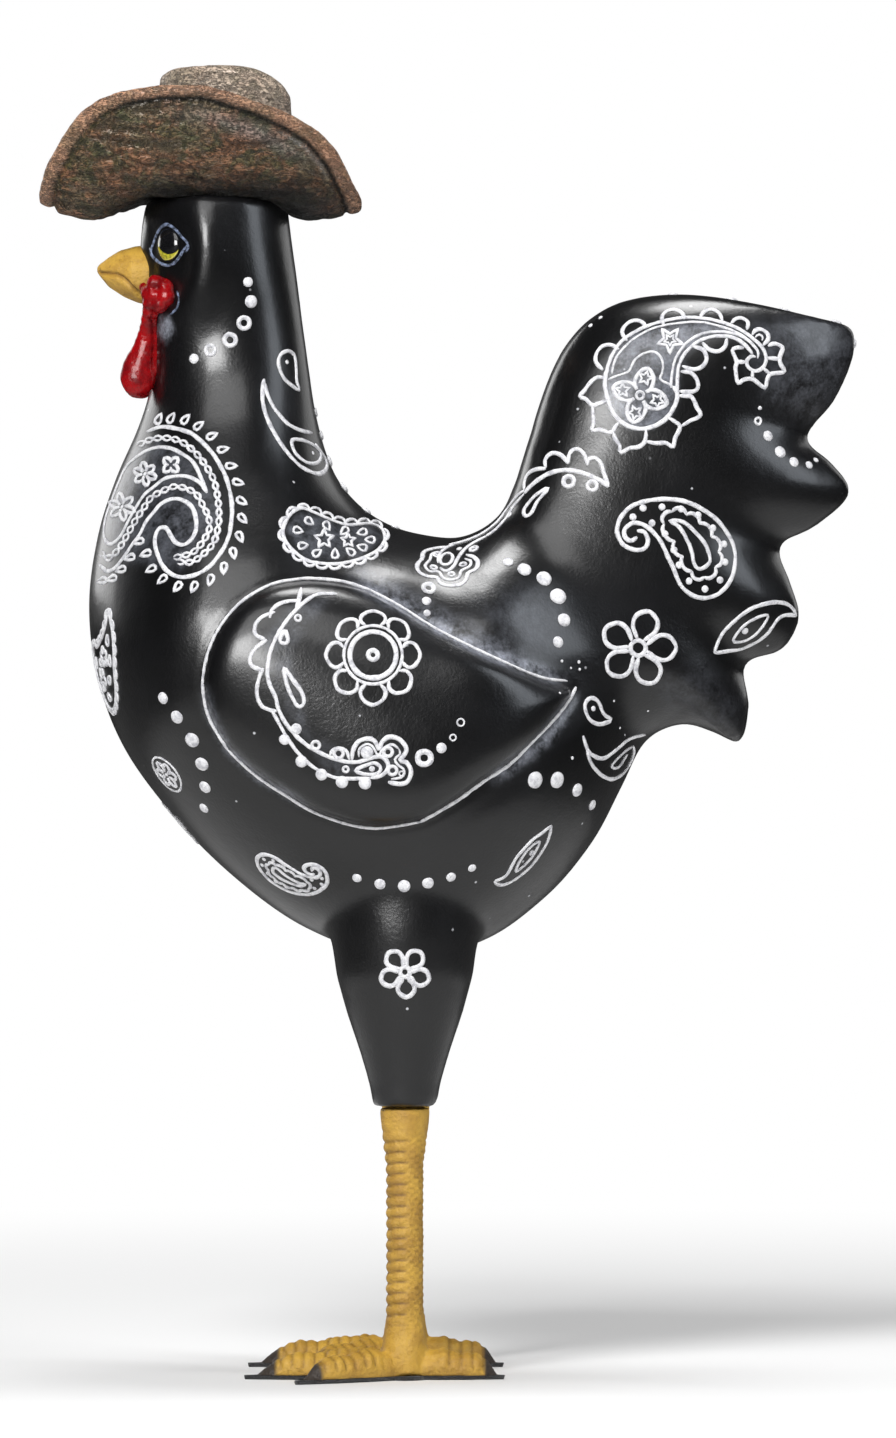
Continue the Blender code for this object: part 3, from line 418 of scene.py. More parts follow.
def bridge_rings(bm, rings, closed=False):
    """Joins rings of points into a solid with flat ends, or into one that closes on itself."""
    loops = [[bm.verts.new(point) for point in ring] for ring in rings]
    following = [*loops[1:], loops[0]] if closed else loops[1:]
    for low, high in zip(loops, following):
        for i in range(len(low)):
            j = (i + 1) % len(low)
            bm.faces.new((low[i], low[j], high[j], high[i]))
    if not closed:
        bm.faces.new(loops[0][::-1])
        bm.faces.new(loops[-1])


def modify(obj, kind, **settings):
    """Adds a modifier with its settings and applies it."""
    pick(obj)
    modifier = obj.modifiers.new(kind.lower(), kind)
    for name, value in settings.items():
        setattr(modifier, name, value)
    bpy.ops.object.modifier_apply(modifier=modifier.name)


def merged(name, *pieces, voxel, smoothing):
    """Overlapping solids joined into one even skin."""
    deselect()
    for piece in pieces:
        piece.select_set(True)
    bpy.context.view_layer.objects.active = pieces[0]
    if len(pieces) > 1:
        bpy.ops.object.join()
    whole = bpy.context.object
    whole.name = whole.data.name = name
    modify(whole, "REMESH", mode="VOXEL", voxel_size=voxel * MM, use_smooth_shade=True)
    modify(whole, "SMOOTH", factor=0.5, iterations=smoothing)
    return whole


def read_points(mesh):
    """The mesh's points and normals as arrays, in millimetres."""
    places = np.empty(len(mesh.vertices) * 3, np.float32)
    mesh.vertices.foreach_get("co", places)
    normals = np.array([tuple(n.vector) for n in mesh.vertex_normals])
    return places.reshape(-1, 3).astype(float) / MM, normals


def write_points(mesh, places):
    mesh.vertices.foreach_set("co", (places * MM).astype(np.float32).ravel())
    mesh.update()


def smoothed_where(obj, weights, rounds):
    """Smooths a skin by its points' weights from 0 to 1, and reads the points again."""
    group = obj.vertex_groups.new(name="smoothed")
    for index in np.nonzero(weights > 0.01)[0]:
        group.add([int(index)], float(weights[index]), "REPLACE")
    modify(obj, "SMOOTH", factor=0.5, iterations=rounds, vertex_group="smoothed")
    obj.vertex_groups.clear()
    return read_points(obj.data)


def tag(mesh, name, values):
    """Stores a number for each point, which a material reads."""
    attribute = mesh.attributes.new(name, "FLOAT", "POINT")
    attribute.data.foreach_set("value", np.asarray(values, np.float32))


def lumps(places, size, seed=0.0):
    """Soft noise from -1 to 1 at each point, with lumps of this size in millimetres."""
    return np.array([noise.noise(Vector(p) / size + Vector((seed, seed * 2, -seed))) for p in places])


def drawn_lumps(places, sizes):
    """The same noise with lumps of other sizes along x, y and z."""
    return np.array([noise.noise(Vector(p)) for p in places / sizes])


def skin_ring(place):
    outer_x, outer_z, inner_x, inner_z, half_width, widest, pinch = (
        spline(column, place) for column in zip(*SECTIONS)
    )
    near = []
    for i in range(POINTS_ROUND // 2 + 1):
        share = 0.5 - 0.5 * math.cos(math.pi * 2 * i / POINTS_ROUND)
        even = share ** (math.log(0.5) / math.log(widest))
        width = half_width * math.sqrt(max(4 * even * (1 - even), 0))
        width *= 1 - PINCH_DEPTH * max(pinch, 0) * max(share - PINCH_START, 0) / (1 - PINCH_START)
        near.append((inner_x + (outer_x - inner_x) * share, width, inner_z + (outer_z - inner_z) * share))
    return near + [(x, -y, z) for x, y, z in near[-2:0:-1]]


def body_solid():
    bm = bmesh.new()
    count = (len(SECTIONS) - 1) * RINGS_PER_SECTION
    bridge_rings(bm, [skin_ring(i / RINGS_PER_SECTION) for i in range(count + 1)])
    return mesh_object("body", bm)


def thigh_solid(side):
    bm = bmesh.new()
    rings = []
    middle = side * LEG_SPACING
    for i in range(THIGH_STEPS + 1):
        share = i / THIGH_STEPS
        radius = float(np.interp(share, *zip(*THIGH_PROFILE)))
        z = THIGH_END + (THIGH_TOP - THIGH_END) * share
        turns = turns_round(48)
        rings.append([(LEG_X + radius * math.cos(a), middle + radius * math.sin(a), z) for a in turns])
    bridge_rings(bm, rings)
    return mesh_object("thigh", bm)


body = merged("body_shell", body_solid(), thigh_solid(-1), thigh_solid(1), voxel=SKIN_VOXEL, smoothing=8)
places, normals = read_points(body.data)
x, y, z = places.T
joint_zone = eased(26, 12, np.abs(x - LEG_X)) * eased(92, 100, z) * eased(142, 126, z)
places, normals = smoothed_where(body, joint_zone, 90)
x, y, z = places.T

# the flanks are fair from the breast to the tail's feathers
fair = eased(-72, -50, x) * eased(0.35, 0.75, np.abs(normals[:, 1])) * eased(128, 142, z)
fair *= eased(-4, 8, x + (222 - z) * 0.9)
places, normals = smoothed_where(body, fair, 160)
x, y, z = places.T
flank = eased(0.15, 0.5, np.abs(normals[:, 1]))

# the wings stand out, with a crease round them and a fuller front
wing_edge = [(*from_photo(px, py, WING_NEARER), 0) for px, py in WING_EDGE]
depth = inside_depth(x, z, smooth_line(wing_edge, 1.5, closed=True))
rise = WING_RELIEF * (1 - np.exp(-np.clip(depth, 0, None) ** 1.25 / 4.0))
crease = 0.7 * np.exp(-((depth + 0.3) / 1.1) ** 2) + 0.5 * np.exp(-((depth + 2.5) / 3.5) ** 2)
places += normals * ((rise - crease) * flank)[:, None]

# grooves run in from the notches between the tail feathers: x and z of both ends, width and depth
FEATHER_GROOVES = (
    ((84.5, 218.0), (60.0, 224.0), 6.5, 0.6),
    ((78.0, 192.8), (58.0, 199.0), 5.5, 0.45),
    ((69.8, 165.3), (55.0, 176.0), 5.5, 0.45),
)
for notch, end, width, deep in FEATHER_GROOVES:
    away, along = line_distance(x, z, [notch, end])
    places -= normals * (deep * np.exp(-(away / width) ** 2) * eased(1.0, 0.2, along) * flank)[:, None]

# the face is a shallow hollow before the temple, round the eye and the cheek
FACE_MIDDLE = (-66.5, 260.0)
face = np.exp(-(((x - FACE_MIDDLE[0]) / 7.5) ** 2 + ((z - FACE_MIDDLE[1]) / 10.5) ** 2) ** 2)
temple = np.exp(-((x + 56.0 + ((z - 262.0) / 14.0) ** 2 * 2.0) / 4.0) ** 2 - ((z - 261.0) / 17.0) ** 2)
places += normals * ((1.5 * temple - 1.9 * face) * flank)[:, None]
places += normals * (lumps(places, 30.0, 3.0) * 0.10 + lumps(places, 9.0, 8.0) * 0.03)[:, None]
write_points(body.data, places)
modify(body, "SMOOTH", factor=0.5, iterations=2)
body.data.shade_smooth()
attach(body, "root")
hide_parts("body_casting")

# White paint was washed thinly over some motifs and along the wing's edges, and into the crease above the
# wing, where a painted highlight joins it. A bluish-white painted sheen lies on the upper feather's tip, the
# rump, low on the tail and on the body above the wing's crease. Each entry gives how strongly, how far it
# spreads and the photograph's pixels round or along it.
WASH_AND_SHEEN_AREAS = (
    (0.62, 5.0, [
        (606, 372), (605, 385), (609, 402), (615, 416), (625, 425), (639, 429), (654, 426), (667, 418),
        (675, 405), (677, 394), (678, 379), (684, 355), (702, 339), (726, 334), (745, 342), (740, 331),
        (706, 320), (665, 322), (632, 334), (612, 354),
    ]),
    (0.36, 4.0, [(286, 530), (300, 510), (334, 522), (368, 525), (383, 538), (360, 557), (310, 560)]),
    (0.30, 6.0, [(96, 500), (112, 455), (160, 440), (205, 470), (222, 520), (180, 570), (120, 560)]),
    (0.22, 6.0, [
        (275, 690), (262, 640), (292, 605), (330, 598), (290, 650), (310, 735), (375, 770), (400, 745),
        (408, 780), (330, 775),
    ]),
    # painted sheen on the upper feather's tip
    (0.20, 22.0, [(745, 325), (800, 322), (858, 335), (850, 375), (815, 420), (770, 400), (750, 360)]),
    # painted sheen on the rump
    (0.12, 20.0, [(470, 600), (520, 585), (560, 605), (550, 650), (500, 645)]),
    # painted sheen low on the tail
    (0.10, 16.0, [(650, 690), (700, 660), (740, 700), (735, 735), (700, 735)]),
    (0.85, 3.0, [(158, 314), (170, 316), (174, 330), (166, 342), (157, 336)]),
)
WASH_AND_SHEEN_LINES = (
    # the crease above the wing: white paint in it, with a painted highlight along it
    (1.50, 6.0, [
        (345, 581), (370, 590), (400, 605), (430, 623), (460, 639), (500, 657), (545, 674), (575, 684),
    ]),
    # painted sheen on the body just above the wing's crease
    (0.45, 11.0, [(340, 569), (365, 578), (398, 596), (428, 614), (460, 630), (500, 649), (545, 666)]),
    (0.90, 6.0, [(577, 688), (566, 712), (552, 732), (534, 750), (510, 768), (484, 784)]),
    (0.60, 4.5, [(204, 680), (208, 705), (214, 722), (229, 750), (256, 775), (287, 794), (320, 812)]),
)
shrink = 1 - np.abs(y) / (CAMERA_DISTANCE / MM)
photo_px = PHOTO_WIDTH / 2 + x / (PIXEL / MM * shrink)
photo_py = PHOTO_HEIGHT / 2 - (z - CAMERA_HEIGHT / MM) / (PIXEL / MM * shrink)
wash_and_sheen = np.zeros(len(x))
for strength, spread, outline in WASH_AND_SHEEN_AREAS:
    depth = inside_depth(photo_px, photo_py, outline)
    wash_and_sheen = np.maximum(wash_and_sheen, strength * eased(-spread, spread, depth))
for strength, spread, line in WASH_AND_SHEEN_LINES:
    away, along = line_distance(photo_px, photo_py, line)
    paint = strength * np.exp(-(away / spread) ** 2) * eased(0, 0.2, along) * eased(1, 0.8, along)
    wash_and_sheen = np.maximum(wash_and_sheen, paint)
tag(body.data, "wash_and_sheen", np.minimum(wash_and_sheen, 1) * eased(0.1, 0.4, np.abs(normals[:, 1])))

SATIN_BLACK = (0.0018, 0.0018, 0.0022)
WORN_BLACK = (0.0042, 0.0042, 0.0052)
WASH_AND_SHEEN_WHITE = (0.34, 0.36, 0.42)
FLECK_WHITE = (0.52, 0.53, 0.56)
FLECK_SPACING = 0.0072
FLECK_SIZE = 0.04
satin = Finish("satin black paint", specular_ior_level=0.5, coat_weight=0.8, coat_roughness=0.2)
patches = satin.cloudy(0.03, 4.0).between(0.35, 0.7)
grain = satin.cloudy(0.0006, 2.0)
colour = satin.mix(patches, SATIN_BLACK, WORN_BLACK)
fine_smears = satin.cloudy(0.0007, 2.0).between(0.4, 0.7)
smears = satin.cloudy(0.0035, 5.0, 0.65).between(0.3, 0.75) * 0.75 + fine_smears * 0.25
# the white wash over the motifs, together with the painted sheen and painted highlight
colour = satin.mix(satin.tagged("wash_and_sheen") * smears, colour, WASH_AND_SHEEN_WHITE)
cells = satin.node("TexVoronoi", {"feature": "F1"}, {"Vector": satin.place(), "Scale": 1 / FLECK_SPACING})
near_cell = 1 - cells.between(FLECK_SIZE * 0.6, FLECK_SIZE * 1.5)
colour = satin.mix(near_cell * satin.cloudy(0.015, 2.0).between(0.44, 0.52), colour, FLECK_WHITE)
satin.set(
    base_color=colour,
    roughness=0.27 + patches * 0.07 + grain * 0.04,
    normal=satin.bump(grain + satin.cloudy(0.004, 3.0) * 2.0, 0.00006),
)
body.data.materials.append(satin.material)

# The hat
# A small brimmed hat, cast on its own, seated on the head and painted like worn leather. The brim curls up
# at both sides, its rim is a rolled lip over a groove darkened by painted shade, and the low crown has a
# crease along its top. Near the head the brim's underside carries the head's black paint, deepened by painted
# shade;
# a pale painted highlight runs along the groove at the back, and a grey painted sheen lies below the lip on
# top.
HAT_MIDDLE = -57.7
BRIM_REACH = 36.2
BRIM_SIDE = 27.6
BRIM_THICKNESS = 2.6
SEAT_REACH = (12.5, 12.0)
BRIM_DROOP = 5.2
BRIM_STEPS = 24
BRIM_POINTS = 160
LIP_RADIUS = 1.5
HAT_VOXEL = 0.55
# sizes of the streaks and folds worked into the brim, along x, y and z
STREAK_SIZES = (9, 5, 1.7)
FOLD_SIZES = (4.5, 4, 1.3)
FOLD_SHIFT = 31.5
FOLD_SLANT = 0.35
# angle round the hat from its back, height of the rim's top
RIM_HEIGHTS = [
    (0, 273.4), (9.5, 275.4), (19.4, 278.6), (31, 284.2), (42.4, 288.9), (54.3, 292.0), (72, 295.6),
    (79.6, 297.1), (87.5, 298.5), (103, 298.6), (117, 297.4), (127.5, 295.6), (135.7, 293.2), (143.9, 289.6),
    (153.5, 284.6), (167, 279.0), (180, 275.0),
]
CROWN_HALF_LENGTH = 16.4
CROWN_HALF_WIDTH = 14.2
# share of the crown's height, half length, half width, shift along x
CROWN_RINGS = [
    (0.0, CROWN_HALF_LENGTH, CROWN_HALF_WIDTH, 0.0), (0.3, 16.0, 13.8, 0.0), (0.6, 15.6, 13.2, 0.0),
    (0.76, 15.2, 12.7, 0.0), (0.86, 14.6, 12.0, -0.9), (0.93, 13.4, 10.8, -1.6), (0.98, 11.2, 8.6, -2.2),
    (1.0, 8.0, 5.6, -2.4),
]
CROWN_MIDDLE = -52.0
CROWN_HEIGHT = 31.3
CROWN_STEPS = 40


def brim_point(turn, reach):
    """A point half way through the brim, at an angle round the hat, with a reach from 0 at the seat to 1."""
    ahead, side = math.cos(turn), abs(math.sin(turn))
    degrees = math.degrees(math.acos(max(-1, min(1, ahead))))
    rim = float(np.interp(degrees, *zip(*RIM_HEIGHTS))) - LIP_RADIUS
    low = HEAD_TOP + BRIM_THICKNESS / 2 - BRIM_DROOP * (1 - side**2) * float(eased(0, 0.6, reach))
    x = HAT_MIDDLE + ahead * (SEAT_REACH[0] + (BRIM_REACH - SEAT_REACH[0]) * reach)
    y = math.copysign(side**0.8, math.sin(turn)) * (SEAT_REACH[1] + (BRIM_SIDE - SEAT_REACH[1]) * reach)
    lift = reach ** (2.2 + 1.4 * (1 - side))
    return Vector((x, y, low + (rim - low) * lift))


def brim_sheet():
    bm = bmesh.new()
    loops = []
    for i in range(BRIM_STEPS + 1):
        loops.append([bm.verts.new(brim_point(turn, i / BRIM_STEPS)) for turn in turns_round(BRIM_POINTS)])
    bm.faces.new(loops[0])
    for near, far in zip(loops, loops[1:]):
        for i in range(BRIM_POINTS):
            j = (i + 1) % BRIM_POINTS
            bm.faces.new((near[i], near[j], far[j], far[i]))
    sheet = mesh_object("hat brim", bm)
    modify(sheet, "SOLIDIFY", thickness=BRIM_THICKNESS * MM, offset=0)
    return sheet


def lip_solid(line):
    """A round bar that follows the rim."""
    bm = bmesh.new()
    rings = []
    for i, at in enumerate(line):
        along = (line[(i + 1) % len(line)] - line[i - 1]).normalized()
        across = along.cross(Vector((0, 0, 1))).normalized()
        up = across.cross(along)
        turns = turns_round(10)
        rings.append([at + across * LIP_RADIUS * math.cos(a) + up * LIP_RADIUS * math.sin(a) for a in turns])
    bridge_rings(bm, rings, closed=True)
    return mesh_object("hat lip", bm)


def crown_solid():
    bm = bmesh.new()
    shares, *columns = zip(*CROWN_RINGS)
    rings = []
    for i in range(CROWN_STEPS + 1):
        share = math.sin(math.pi / 2 * i / CROWN_STEPS)
        long, wide, shift = (float(np.interp(share, shares, column)) for column in columns)
        middle = CROWN_MIDDLE + shift
        z = HEAD_TOP + 1 + share * (CROWN_HEIGHT - 1)
        rings.append([(middle + long * math.cos(a), wide * math.sin(a), z) for a in turns_round(96)])
    bridge_rings(bm, rings)
    return mesh_object("hat crown", bm)


rim_line = [brim_point(turn, 1.0) for turn in turns_round(220)]
hat = merged("felt_hat", brim_sheet(), crown_solid(), lip_solid(rim_line), voxel=HAT_VOXEL, smoothing=10)
places, normals = read_points(hat.data)
x, y, z = places.T
to_rim = np.full(len(places), 1e9)
for point in rim_line:
    to_rim = np.minimum(to_rim, np.linalg.norm(places - np.array(point), axis=1))
crown_run = np.hypot((x - CROWN_MIDDLE) / CROWN_HALF_LENGTH, y / CROWN_HALF_WIDTH)
on_crown = eased(1.12, 1.02, crown_run) * eased(275, 279, z)
outward = normals[:, 1] * np.sign(y) - normals[:, 2] * 0.6
under = eased(-0.1, 0.3, outward) * (1 - on_crown)
groove_at = 2.2 + 0.7 * eased(12, 30, np.abs(x - HAT_MIDDLE))
groove = np.exp(-((to_rim - groove_at) / 0.6) ** 2)
places -= normals * (groove * under * 0.8)[:, None]
streaks = drawn_lumps(places, STREAK_SIZES)
slanting = np.stack((x + FOLD_SHIFT, y, z + x * FOLD_SLANT), 1)
folds = drawn_lumps(slanting, FOLD_SIZES)
worked = eased(0.0, 1.8, to_rim - groove_at)
places += normals * ((np.minimum(streaks, 0.12) * 0.75 + folds * 0.35) * under * worked)[:, None]
places += normals * (lumps(places, 7.0, 2.0) * 0.25 + lumps(places, 2.4, 5.0) * 0.14)[:, None]
dent = np.exp(-(y / 3.6) ** 2) * eased(296, 304, z) * eased(1.1, 0.5, crown_run)
places[:, 2] -= dent * 2.2
write_points(hat.data, places)
tag(hat.data, "lip", eased(0.1, -0.7, to_rim - groove_at) * (1 - on_crown))
# painted shade in the groove under the lip, weaker towards the front of the hat
tag(hat.data, "groove", groove * under * (0.3 + 0.7 * eased(-84, -70, x)))
tag(hat.data, "crown", on_crown)
tag(hat.data, "creases", np.clip(-streaks * 2.2, 0, 1) * under)
# the head's black paint carried onto the brim's underside, deepened as painted shade where the brim meets the
# head
tag(hat.data, "head_paint_and_shade", eased(281.5, 273.5, z) * eased(36, 20, np.hypot(x + 52, y)) * under)
# a pale painted highlight along the lower side of the groove, towards the back of the hat
painted_highlight_edge = np.exp(-((to_rim - groove_at - 1.0) / 0.4) ** 2) * eased(-42, -34, x) * under
tag(hat.data, "painted_highlight_edge", painted_highlight_edge * eased(276, 280, z))
# a grey painted sheen just below the lip at the top of the brim's face
painted_top_sheen = np.exp(-((to_rim - groove_at - 3.4) / 2.0) ** 2) * np.exp(-((x + 44) / 15) ** 2) * under
tag(hat.data, "painted_top_sheen", painted_top_sheen * eased(278, 284, z))
hat.data.shade_smooth()
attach(hat, "root")
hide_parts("hat")

OLIVE_BROWN = (0.180, 0.132, 0.072)
RUST_BROWN = (0.30, 0.138, 0.068)
MOSS = (0.090, 0.105, 0.042)
SOOT_GREEN = (0.014, 0.016, 0.012)
LIP_TAN = (0.68, 0.375, 0.235)
CROWN_GREY = (0.66, 0.53, 0.42)
RUBBED_TAN = (0.52, 0.44, 0.36)
SHADE_AND_HEAD_PAINT_BLACK = (0.006, 0.007, 0.006)
SHEEN_GREY = (0.40, 0.36, 0.34)
HIGHLIGHT_PALE = (0.70, 0.67, 0.64)
worn = Finish("worn leather paint", specular_ior_level=0.5)
along_brim = worn.stretched((1.0, 1.0, 4.2), (0, 0.12, 0))
across_brim = worn.stretched((1.0, 1.0, 3.0), (0, -0.6, 0))
lip_or_crown = worn.tagged("lip").either(worn.tagged("crown"))
broad = worn.cloudy(0.009, 5.0, 0.65).between(0.40, 0.60)
mossy = worn.cloudy(0.005, 4.0, 0.6, distortion=0.6).between(0.48, 0.60)
wrinkles = worn.cloudy(0.0052, 3.0, 0.55, along_brim, 1.6).between(0.462, 0.512)
crossing = worn.cloudy(0.0036, 3.0, 0.55, across_brim, 1.2).between(0.47, 0.51)
lines = (wrinkles * (1 - wrinkles) * 3.8).either(crossing * (1 - crossing) * 2.8)
pits = worn.cloudy(0.0011, 4.0, 0.65).between(0.50, 0.60)
rubbed = worn.cloudy(0.0015, 4.0, 0.65, along_brim).between(0.54, 0.66)
colour = worn.mix(broad, OLIVE_BROWN, RUST_BROWN)
colour = worn.mix(worn.tagged("crown") * 0.75, colour, CROWN_GREY)
colour = worn.mix(worn.tagged("lip") * 0.72, colour, LIP_TAN)
colour = worn.mix(mossy * (0.7 - lip_or_crown * 0.4), colour, MOSS)
# the grey painted sheen below the lip
colour = worn.mix(worn.tagged("painted_top_sheen") * 0.55, colour, SHEEN_GREY)
colour = worn.mix(rubbed * 0.42, colour, RUBBED_TAN)
soot = (lines * 0.96).either(pits * 0.62).either(worn.tagged("creases") * 0.5) * (1 - lip_or_crown * 0.4)
colour = worn.mix(soot, colour, SOOT_GREEN)
# painted shade in the groove, and near the head the head's black paint deepened by painted shade
colour = worn.mix(worn.tagged("groove").either(worn.tagged("head_paint_and_shade")) * 0.95, colour, SHADE_AND_HEAD_PAINT_BLACK)
# the pale painted highlight along the groove, broken up by the rubbed noise
colour = worn.mix(worn.tagged("painted_highlight_edge") * rubbed.either(0.25), colour, HIGHLIGHT_PALE)
worn.set(
    base_color=colour,
    roughness=0.36 + pits * 0.2,
    normal=worn.bump(rubbed * 0.5 - lines * 0.8 - pits * 0.5, 0.0010),
)
hat.data.materials.append(worn.material)

# The beak
# Cast on its own, painted mustard yellow and glued to the face, with the mouth cut along each side and
# a small nostril above it.

# pixels of the beak's top edge, its bottom edge and its mouth, from the root to the tip
BEAK_TOP = [(141, 246), (134, 246.7), (121, 250.3), (108.5, 257.6), (99.5, 264.5), (96.6, 268.5)]
BEAK_BOTTOM = [(141, 303.5), (137.6, 302.4), (123, 296.4), (108.5, 286.7), (100, 276.5), (96.6, 271.5)]
MOUTH = [(140, 293), (135, 289), (130, 284), (123, 277.5), (116, 273.8), (107, 272.8), (99, 272)]
BEAK_HALF_WIDTH = 6.4
BEAK_START = -69.0
BEAK_STEPS = 40
MOUTH_NEARER = 5
NOSTRIL = (-76.0, 259.6)
MUSTARD = (0.58, 0.345, 0.052)
OCHRE = (0.40, 0.22, 0.035)
MOUTH_BROWN = (0.16, 0.075, 0.015)


def across_photo(line, x, nearer=0.0):
    """The height of a line of photo pixels at each x."""
    points = sorted(from_photo(px, py, nearer) for px, py in line)
    return np.interp(x, [p[0] for p in points], [p[1] for p in points])


def beak_solid():
    bm = bmesh.new()
    tip = from_photo(*BEAK_TOP[-1])[0]
    rings = []
    for i in range(BEAK_STEPS + 1):
        share = math.sin(math.pi / 2 * i / BEAK_STEPS) ** 0.9
        x = BEAK_START + (tip + 0.15 - BEAK_START) * share
        top, bottom = float(across_photo(BEAK_TOP, x)), float(across_photo(BEAK_BOTTOM, x))
        run = max(1 - share, 0.0)
        wide = BEAK_HALF_WIDTH * min(1, 0.1 + 1.25 * run**0.75)
        if i == BEAK_STEPS:
            wide, top, bottom = 0.3, (top + bottom) / 2 + 0.25, (top + bottom) / 2 - 0.25
        ring = []
        for a in turns_round(48):
            y = wide * math.copysign(abs(math.cos(a)) ** 0.9, math.cos(a))
            ring.append((x, y, (top + bottom) / 2 + (top - bottom) / 2 * math.sin(a)))
        rings.append(ring)
    bridge_rings(bm, rings)
    return mesh_object("beak block", bm)


beak = merged("mustard_beak", beak_solid(), voxel=0.28, smoothing=6)
places, normals = read_points(beak.data)
x, y, z = places.T
gape = across_photo(MOUTH, x, MOUTH_NEARER)
sideways = np.abs(normals[:, 1])
slit = np.exp(-((z - gape) / 0.42) ** 2) * eased(0.25, 0.6, sideways)
under_lip = np.exp(-((z - gape + 1.3) / 0.8) ** 2) * eased(0.25, 0.6, sideways)
nostril = np.exp(-((x - NOSTRIL[0]) / 1.0) ** 2 - ((z - NOSTRIL[1]) / 0.5) ** 2) * eased(0.2, 0.5, sideways)
places += normals * (under_lip * 0.28 - slit * 0.62 - nostril * 0.3 + lumps(places, 3.5, 4.0) * 0.12)[:, None]
write_points(beak.data, places)
tag(beak.data, "slit", slit)
beak.data.shade_smooth()
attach(beak, "root")
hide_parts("beak")

mustard = Finish("mustard paint", specular_ior_level=0.45)
stained = mustard.cloudy(0.004, 5.0, 0.6).between(0.35, 0.7)
pores = mustard.cloudy(0.0007, 3.0)
# the mouth slit is coloured dark brown, and small dark specks lie over the rest of the beak
slit_and_specks = (mustard.tagged("slit") * 0.75).either(mustard.cloudy(0.0011, 3.0).between(0.62, 0.7) * 0.4)
colour = mustard.mix(slit_and_specks, mustard.mix(stained, MUSTARD, OCHRE), MOUTH_BROWN)
mustard.set(base_color=colour, roughness=0.46 + pores * 0.12, normal=mustard.bump(pores, 0.00025))
beak.data.materials.append(mustard.material)

# The wattles
# Two glossy red castings, one on each side of the beak: a folded knob on the cheek, and a lobe that
# hangs from it before the throat.

# px, py and radius in photo pixels, distance from the middle plane in millimetres
WATTLE_BALLS = [
    (156, 284, 9.5, 12.0), (164, 288, 10.0, 12.8), (166, 297, 9.5, 12.8), (160, 304, 9.5, 12.0),
    (151, 303, 9.0, 11.0), (149, 293, 8.5, 10.8), (143, 287, 4.6, 9.4), (156, 294, 10.0, 11.8),
    (151, 311, 8.8, 9.8), (149, 319, 8.6, 8.6), (148.5, 327, 9.2, 7.6), (148, 336, 10.6, 6.8),
    (146.5, 345, 12.3, 6.4), (144.5, 354, 14.2, 6.2), (142, 362, 16.2, 6.0), (140, 370, 18.0, 5.8),
    (138.5, 377, 18.6, 5.6), (138, 382, 15.6, 5.6),
]
WATTLE_FLATNESS = 0.62
LOBE_START = 312
CHEEK_DENT = (156, 288, 14)
THROAT_FURROW = (154.5, 330, 8)


def ball(px, py, radius, out, flat):
    """A ball, or one flattened sideways, this far out from the middle plane."""
    x, z = from_photo(px, py, out)
    bpy.ops.mesh.primitive_uv_sphere_add(segments=28, ring_count=16, radius=radius * PIXEL)
    made = bpy.context.object
    made.scale.y = flat
    made.location = (x * MM, -out * MM, z * MM)
    bpy.ops.object.transform_apply(location=True, rotation=False, scale=True)
    return made


def mirrored(obj, name):
    """The same shape on the other side of the middle plane, with its own mesh."""
    other = obj.copy()
    other.data = obj.data.copy()
    other.name = other.data.name = name
    bpy.context.scene.collection.objects.link(other)
    pick(other)
    bpy.ops.transform.mirror(constraint_axis=(False, True, False), center_override=(0, 0, 0))
    bpy.ops.object.transform_apply(location=True, rotation=True, scale=True)
    bpy.ops.object.mode_set(mode="EDIT")
    bpy.ops.mesh.select_all(action="SELECT")
    bpy.ops.mesh.normals_make_consistent(inside=False)
    bpy.ops.object.mode_set(mode="OBJECT")
    return other


balls = []
for px, py, radius, out in WATTLE_BALLS:
    balls.append(ball(px, py, radius, out, 1.0 if py < LOBE_START else WATTLE_FLATNESS))
left_wattle = merged("left_red_wattle", *balls, voxel=0.3, smoothing=14)
places, normals = read_points(left_wattle.data)
x, y, z = places.T
dent_x, dent_z = from_photo(*CHEEK_DENT)
dent = np.exp(-((x - dent_x) / 1.0) ** 2 - ((z - dent_z) / 0.8) ** 2) * eased(0.3, 0.7, -normals[:, 1])
furrow_x = from_photo(*THROAT_FURROW)[0]
furrow = np.exp(-((x - furrow_x) / 0.8) ** 2) * eased(231, 236, z) * eased(249, 245, z)
furrow *= eased(0.2, 0.6, -normals[:, 1])
creases = drawn_lumps(places, (2.2, 2.6, 7.5))
places += normals * (creases * 0.22 + lumps(places, 3.4, 9.0) * 0.08 - dent * 0.9 - furrow * 0.5)[:, None]
write_points(left_wattle.data, places)
left_wattle.data.shade_smooth()

GLOSS_RED = (0.31, 0.003, 0.005)
DEEP_RED = (0.15, 0.002, 0.004)
gloss_red = Finish("glossy red paint", coat_weight=0.3, coat_roughness=0.05, specular_ior_level=0.2)
pooled = gloss_red.cloudy(0.0035, 4.0, 0.55).between(0.38, 0.68)
gloss_red.set(
    base_color=gloss_red.mix(pooled, GLOSS_RED, DEEP_RED),
    roughness=0.2 + pooled * 0.12,
    normal=gloss_red.bump(gloss_red.cloudy(0.0012, 3.0), 0.0002),
)
left_wattle.data.materials.append(gloss_red.material)
right_wattle = mirrored(left_wattle, "right_red_wattle")
for obj, node in ((left_wattle, "left_wattle"), (right_wattle, "right_wattle")):
    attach(obj, "root")
    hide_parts(node)

